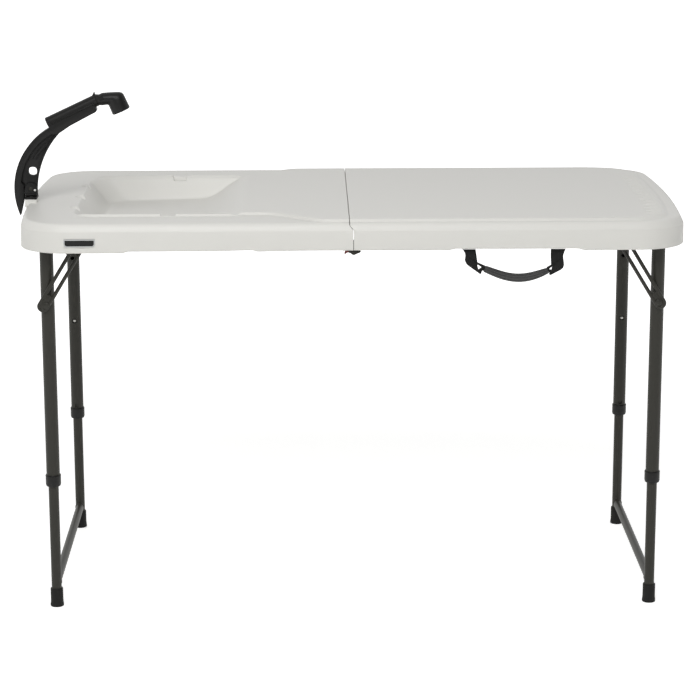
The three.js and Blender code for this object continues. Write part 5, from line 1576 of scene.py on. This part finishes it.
# %% Tap bracket and pin
bracket_low, bracket_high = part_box("tap_bracket")
pad = block("tap_pad", (PIVOT.x - 11.2 * MM, bracket_low.y + 1 * MM, RIM_Z - 9 * MM),
            (PIVOT.x + 11.2 * MM, bracket_high.y - 1 * MM, bracket_low.z - 0.2 * MM), 1.4 * MM)
finish_piece(pad, "base", ["left_top"], polyethylene)
FOOT_HEIGHT = 3.6 * MM
base_high = bracket_low.z + FOOT_HEIGHT
base = block("tap_bracket_base", (bracket_low.x, bracket_low.y, bracket_low.z),
             (bracket_high.x, bracket_high.y, base_high), 1.0 * MM)
finish_piece(base, "base", ["tap_bracket"], nylon)
CHEEK = 4 * MM
CHEEK_RADIUS = 11.5 * MM
# Where the screws stand, from the tap's middle line
SCREW_OUT = 13.2 * MM
ridges = (PIVOT.z - 10.6 * MM, PIVOT.z - 17.3 * MM)
for side_name, side in SIDES:
    inner_y = ARM_Y + side * (WEB_HALF + 0.3 * MM)
    outer_y = inner_y + side * CHEEK
    cheek_low, cheek_high = sorted((inner_y, outer_y))
    outline = arc((PIVOT.x, PIVOT.z), CHEEK_RADIUS, 0, math.pi, 24)
    outline += [(PIVOT.x + end * CHEEK_RADIUS, bracket_low.z + 1 * MM) for end in (-1, 1)]
    cheek = plate(f"tap_bracket_{side_name}_cheek", outline, cheek_low, cheek_high, 0.8 * MM,
                  [round_hole(PIVOT.x, PIVOT.z, PIN_BORE)], 3)
    finish_piece(cheek, "base", ["tap_bracket"], nylon)
    for k, ridge_z in enumerate(ridges):
        rib_y = sorted((outer_y - side * 0.6 * MM, outer_y + side * 2.2 * MM))
        rib = block(f"tap_bracket_{side_name}_rib_{k + 1}",
                    (PIVOT.x - 10.8 * MM, rib_y[0], ridge_z - 1.4 * MM),
                    (PIVOT.x + 10.8 * MM, rib_y[1], ridge_z + 1.4 * MM), 0.8 * MM)
        finish_piece(rib, "base", ["tap_bracket"], nylon)
    stud_place = (PIVOT.x + 7.4 * MM, outer_y - side * 0.5 * MM, PIVOT.z - 2.6 * MM)
    stud = turned(f"tap_bracket_{side_name}_stud", stud_place, (0, side, 0),
                  in_mm([(0, 0), (2.3, 0), (2.3, 0.7), (1.6, 1.3), (0, 1.5)]), 20)
    finish_piece(stud, "base", (), satin)
    screw_place = (PIVOT.x + 1 * MM, ARM_Y + side * SCREW_OUT, base_high - 0.2 * MM)
    screw = turned(f"tap_bracket_{side_name}_screw", screw_place, (0, 0, 1),
                   in_mm([(0, 0), (2.9, 0), (2.8, 0.9), (1.6, 1.6), (1.3, 0.7), (0, 0.7)]), 24)
    finish_piece(screw, "base", (), powder_coat)
arm_pin = headed_pin("arm_pin", shank=3 * MM, head=4.1 * MM, head_height=2 * MM)
finish_piece(arm_pin, "base", ["arm_pin"], powder_coat)
print_made("bracket and pin")

# %% [markdown]
# ## Drain
# A threaded nylon fitting sits in the sink floor with a nut below, and a rubber plug with a pull knob
# closes it.

# %% Drain
drain = middle_of("drain_fitting")
low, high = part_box("drain_fitting")
seat = high.z - 2.5 * MM
tail = seat - low.z
bore = 12 * MM
thread = [(16.4 * MM - (0.35 * MM if k % 2 else 0), 1.2 * MM + 0.9 * MM * k) for k in range(9)]
fitting = turned("drain_fitting_turned", (drain.x, drain.y, low.z), (0, 0, 1),
                 [(bore, 0), (16 * MM, 0), *thread, (16.4 * MM, tail), (26.6 * MM, tail),
                  (27 * MM, tail + 0.4 * MM), (25.6 * MM, tail + 1.8 * MM),
                  (24 * MM, tail + 2.4 * MM), (15 * MM, tail + 2.5 * MM),
                  (13.4 * MM, tail + 1.8 * MM), (bore, tail + 0.4 * MM), (bore, 0)], 64)
finish_piece(fitting, "base", ["drain_fitting"], nylon)
low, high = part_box("drain_nut")
nut_height = high.z - low.z
nut = turned("drain_nut_ring", (drain.x, drain.y, low.z), (0, 0, 1),
             [(16.7 * MM, 0), (23.4 * MM, 0), (24 * MM, 0.6 * MM), (24 * MM, nut_height - 0.6 * MM),
              (23.4 * MM, nut_height), (16.7 * MM, nut_height), (16.7 * MM, 0)], 64)
finish_piece(nut, "base", ["drain_nut"], nylon)
low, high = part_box("drain_plug")
plug_height = high.z - low.z
bung = plug_height - 8.2 * MM
knob = plug_height - 5.5 * MM
plug = turned("drain_plug_turned", (drain.x, drain.y, low.z), (0, 0, 1),
              [(0, 0), (10.8 * MM, 0), (11.4 * MM, 0.8 * MM), (11.6 * MM, bung), (14.4 * MM, bung),
               (14.7 * MM, bung + 0.5 * MM), (14.6 * MM, knob - 0.8 * MM), (13.8 * MM, knob),
               (4.2 * MM, knob), (3.2 * MM, knob + 0.8 * MM), (3 * MM, knob + 2 * MM),
               (4.6 * MM, knob + 3.2 * MM), (5 * MM, knob + 4.2 * MM), (4.2 * MM, knob + 5.2 * MM),
               (2 * MM, plug_height), (0, plug_height)], 48)
finish_piece(plug, "plug", ["drain_plug"], rubber)
print_made("drain")

# %% [markdown]
# ## Carry handle
# Each strap is webbing that hangs from inside the front edge, folds over on the slant at its foot
# and runs back up as a narrow neck into the grip, leaving a small three-cornered eye.

# %% Handle straps
# The strap's three parts as seen from the front, in mm of X and Z: the hanging part behind, the
# folded part in front, and the neck that holds the grip and leaves the eye open
STRAPS = {
    "left": {
        "hanging": [(204.9, 690), (207.4, 688), (210.3, 682.4), (210.9, 678.4), (210.2, 672), (211.5, 668),
                    (228, 658), (233.2, 661), (233.2, 664.8), (231.5, 677), (229.4, 690)],
        "fold": [(210.9, 678), (209.8, 670.9), (211.9, 664.8), (215.3, 660.8), (238.7, 643.8), (240, 646.5),
                 (241.6, 651.3), (240.2, 656.9), (234.6, 653.4), (232.6, 661.6), (233.4, 664.4)],
        "neck": [(231.5, 667), (231.8, 662.8), (239.4, 658), (241.4, 650.8), (247.6, 650.2), (248.8, 656),
                 (247.6, 659.6)]},
    "right": {
        "hanging": [(365.4, 690), (365.2, 677.7), (365.9, 666.9), (366.4, 658), (386, 654.5), (389.3, 661.4),
                    (387.9, 672.3), (388.3, 679), (390.6, 686), (392.4, 690)],
        "fold": [(388, 675), (389.9, 661.4), (388.3, 655.3), (384.8, 651.9), (365.6, 641.8), (362.9, 643.1),
                 (363.5, 650), (366.8, 651.8), (367.8, 657.2), (372, 660)],
        "neck": [(358.6, 656.8), (358.2, 648), (362.6, 647), (366.8, 650.6), (366.9, 652), (363.6, 652.7),
                 (363.6, 654.2), (367.9, 657.5), (371, 663), (366, 661)]}}
LAYER = 1.0 * MM

for end_name, parts in STRAPS.items():
    node = f"{end_name}_handle_strap"
    low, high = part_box(node)
    depths = {"hanging": (high.y - LAYER, high.y), "fold": (low.y, low.y + LAYER * 0.95),
              "neck": (low.y + 0.1 * MM, high.y - 0.3 * MM)}
    for part, outline in parts.items():
        strap = plate(f"{end_name}_strap_{part}", in_mm(outline), *depths[part], 0.25 * MM)
        finish_piece(strap, "handle", [node], webbing)
    low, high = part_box(f"{end_name}_strap_anchor")
    sewn = block(f"{end_name}_strap_sewn_end", low, high, 0.3 * MM)
    finish_piece(sewn, "right_half", [f"{end_name}_strap_anchor"], webbing)
print_made("handle straps")

# %% [markdown]
# The grip is a rubber sleeve with lengthwise flutes. It sags between the straps, is thickest near
# its middle and closes in a round at both ends. Its line and its radius are smooth curves through
# places read from the photo.

# %% Handle grip
low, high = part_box("handle_grip")
grip_y = (low.y + high.y) / 2
# Middle line and radius of the grip along X, in mm
GRIP_X = [245.9, 258, 271.6, 285.4, 299, 312.8, 326.5, 340.3, 352, 361]
GRIP_Z = [654.2, 649.5, 644.2, 639.8, 637.6, 637.6, 638.9, 642.5, 647, 650.6]
GRIP_RADIUS = [6.1, 6.8, 7.4, 7.7, 7.8, 7.9, 7.7, 7.3, 6.4, 5.3]
FLUTES = 9
FLUTE_DEPTH = 1.3 * MM
FLUTE_POWER = 3
GRIP_SIDES = 80
grip_middle = 303.4
middle_curve = np.polyfit(np.array(GRIP_X) - grip_middle, GRIP_Z, 4)
radius_curve = np.polyfit(np.array(GRIP_X) - grip_middle, GRIP_RADIUS, 4)


def grip_section(x):
    """The fluted outline of the grip at a place along X, in mm."""
    radius = float(np.polyval(radius_curve, x - grip_middle)) * MM
    close = min(x - GRIP_X[0], GRIP_X[-1] - x) / 2
    if close < 1:
        radius *= 0.86 + 0.14 * math.sqrt(1 - (1 - close) ** 2)
    points = []
    for s in range(GRIP_SIDES):
        angle = 2 * math.pi * s / GRIP_SIDES
        flute = FLUTE_DEPTH * (0.5 + 0.5 * math.cos(FLUTES * angle)) ** FLUTE_POWER
        points.append(((radius - flute) * math.cos(angle), (radius - flute) * math.sin(angle)))
    return points


grip_stops = sorted({*np.linspace(GRIP_X[0], GRIP_X[-1], 41), 246.4, 247.0, 359.9, 360.5})
path = [(x * MM, grip_y, float(np.polyval(middle_curve, x - grip_middle)) * MM) for x in grip_stops]
grip = swept("handle_grip_sleeve", path,
             lambda share: grip_section(grip_stops[round(share * (len(grip_stops) - 1))]), 50)
finish_piece(grip, "handle", ["handle_grip"], grip_rubber)
print_made("handle grip")

# %% [markdown]
# The badge place on the front of the left half is kept as a plain blank plate. Its silvery rim is a pale
# flat grey, a painted reflection in place of metal. Its lower corners are rounder than its upper ones.

# %% Blank badge plate
BADGE_LEFT = HINGE_X - BADGE_END
BADGE_RIGHT = HINGE_X - BADGE_START
BADGE_FACE = -HALF_DEPTH + 0.1 * MM


def badge_outline(inset, low_radius, high_radius):
    """The badge's outline, drawn in by an inset, with the radii of its lower and upper corners."""
    left, right = BADGE_LEFT + inset, BADGE_RIGHT - inset
    low, high = BADGE_LOW + inset, BADGE_HIGH - inset
    outline = arc((right - low_radius, low + low_radius), low_radius, -math.pi / 2, 0, 8)
    outline += arc((right - high_radius, high - high_radius), high_radius, 0, math.pi / 2, 5)
    outline += arc((left + high_radius, high - high_radius), high_radius, math.pi / 2, math.pi, 5)
    outline += arc((left + low_radius, low + low_radius), low_radius, math.pi, 3 * math.pi / 2, 8)
    return outline


BADGE_BACK = BADGE_FACE + 1.2 * MM
outside_line = badge_outline(0, 6.5 * MM, 1.5 * MM)
inside_line = badge_outline(2.3 * MM, 4.2 * MM, 0.6 * MM)
# The rim gets the pale grey of painted reflection in place of a metal's own shine
badge_rim = plate("badge_rim", outside_line, BADGE_FACE, BADGE_BACK, 0.3 * MM, [inside_line])
finish_piece(badge_rim, "base", (), silver_rim_painted_sheen)
badge_field = plate("badge_field", inside_line, BADGE_FACE + 0.3 * MM, BADGE_BACK, 0)
finish_piece(badge_field, "base", (), nylon)
print_made("badge plate")

# %% [markdown]
# ## Light and ground
# A photo studio: a broad soft lamp high in front that lights the top and the skirt alike, a weak
# fill at each side, and a white backdrop.

# %% Studio
def area_lamp(name, place, target, size, power):
    """A soft rectangular lamp that faces its target."""
    data = bpy.data.lights.new(name, "AREA")
    data.shape = "RECTANGLE"
    data.size, data.size_y = size
    data.energy = power
    lamp = bpy.data.objects.new(name, data)
    bpy.context.scene.collection.objects.link(lamp)
    lamp.location = place
    lamp.rotation_euler = (Vector(target) - Vector(place)).to_track_quat("-Z", "Y").to_euler()
    return lamp


KEY_POWER = 92
FILL_POWER = 5
area_lamp("key_front", (-0.8, -3.2, 3.4), (0, 0, 0.6), (2.4, 1.8), KEY_POWER)
area_lamp("fill_right", (3.6, -1.0, 1.6), (0, 0, 0.5), (1.8, 2.2), FILL_POWER)
area_lamp("fill_left", (-3.8, 0.4, 1.7), (0, 0, 0.5), (1.8, 2.2), FILL_POWER)
print("lamps", [light.name for light in bpy.data.lights])


def seen_rays(owner):
    """One for rays of the camera, of reflections and of glass, and nothing for the others."""
    rays = add_node(owner, "ShaderNodeLightPath")
    mirrored = add_node(owner, "ShaderNodeMath", settings={"operation": "MAXIMUM"},
                        links={0: (rays, "Is Glossy Ray"), 1: (rays, "Is Transmission Ray")})
    return rays, mirrored


world = bpy.data.worlds.new("studio")
world.use_nodes = True
bpy.context.scene.world = world
background = world.node_tree.nodes["Background"]
background.inputs["Color"].default_value = (1, 1, 1, 1)
WORLD_LEVEL = 0.39
DIM_LEVEL = 0.12
# The studio is white behind and beside the table, and dim on the photographer's side
way = add_node(world, "ShaderNodeTexCoord")
way_parts = add_node(world, "ShaderNodeSeparateXYZ", links={"Vector": (way, "Generated")})
behind = add_node(world, "ShaderNodeMapRange",
                  inputs={"From Min": -0.5, "From Max": 0.2, "To Min": DIM_LEVEL, "To Max": 1.0},
                  links={"Value": (way_parts, "Y")})
rays, mirrored = seen_rays(world)
for_reflections = add_node(world, "ShaderNodeMix", inputs={"A": WORLD_LEVEL},
                           links={"Factor": (mirrored, "Value"), "B": (behind, "Result")})
strength = add_node(world, "ShaderNodeMix", inputs={"B": 1.0},
                    links={"Factor": (rays, "Is Camera Ray"), "A": (for_reflections, "Result")})
world.node_tree.links.new(strength.outputs["Result"], background.inputs["Strength"])
print("world level", WORLD_LEVEL, "seen by matt surfaces")

# %% [markdown]
# The floor is white paper. It glows a little for the camera, more with the distance, so that it is
# as white as the backdrop, has no horizon and still keeps the soft shadow of the feet.

# %% Paper floor
FLOOR_HALF = 30.0
FLOOR_GLOW = 0.62
paper, shader = new_material("White paper floor", "#F2F2F0", 0.9, ior=1.5)
place = add_node(paper, "ShaderNodeNewGeometry")
distance = add_node(paper, "ShaderNodeVectorMath", settings={"operation": "LENGTH"},
                    links={0: (place, "Position")})
glow = add_node(paper, "ShaderNodeMapRange",
                inputs={"From Min": 1.0, "From Max": 3.0, "To Min": FLOOR_GLOW, "To Max": 1.0},
                links={"Value": (distance, "Value")})
rays, mirrored = seen_rays(paper)
seen = add_node(paper, "ShaderNodeMath", settings={"operation": "MAXIMUM"},
                links={0: (rays, "Is Camera Ray"), 1: (mirrored, "Value")})
glow_seen = add_node(paper, "ShaderNodeMath", settings={"operation": "MULTIPLY"},
                     links={0: (glow, "Result"), 1: (seen, "Value")})
shader.inputs["Emission Color"].default_value = (1, 1, 1, 1)
paper.node_tree.links.new(glow_seen.outputs["Value"], shader.inputs["Emission Strength"])
corners = [(x, y, 0) for x, y in ((-1, -1), (1, -1), (1, 1), (-1, 1))]
floor = mesh_object("paper_floor", [Vector(c) * FLOOR_HALF for c in corners], [(0, 1, 2, 3)])
floor.data.materials.append(paper)
bpy.context.scene.collection.objects.link(floor)
bpy.context.scene.view_settings.view_transform = "Standard"
print("floor", 2 * FLOOR_HALF, "m wide")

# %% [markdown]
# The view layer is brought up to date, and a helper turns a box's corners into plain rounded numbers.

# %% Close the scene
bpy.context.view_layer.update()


def plain(box):
    """A box's corners as plain rounded numbers."""
    return [[round(float(v), 6) for v in corner] for corner in box]
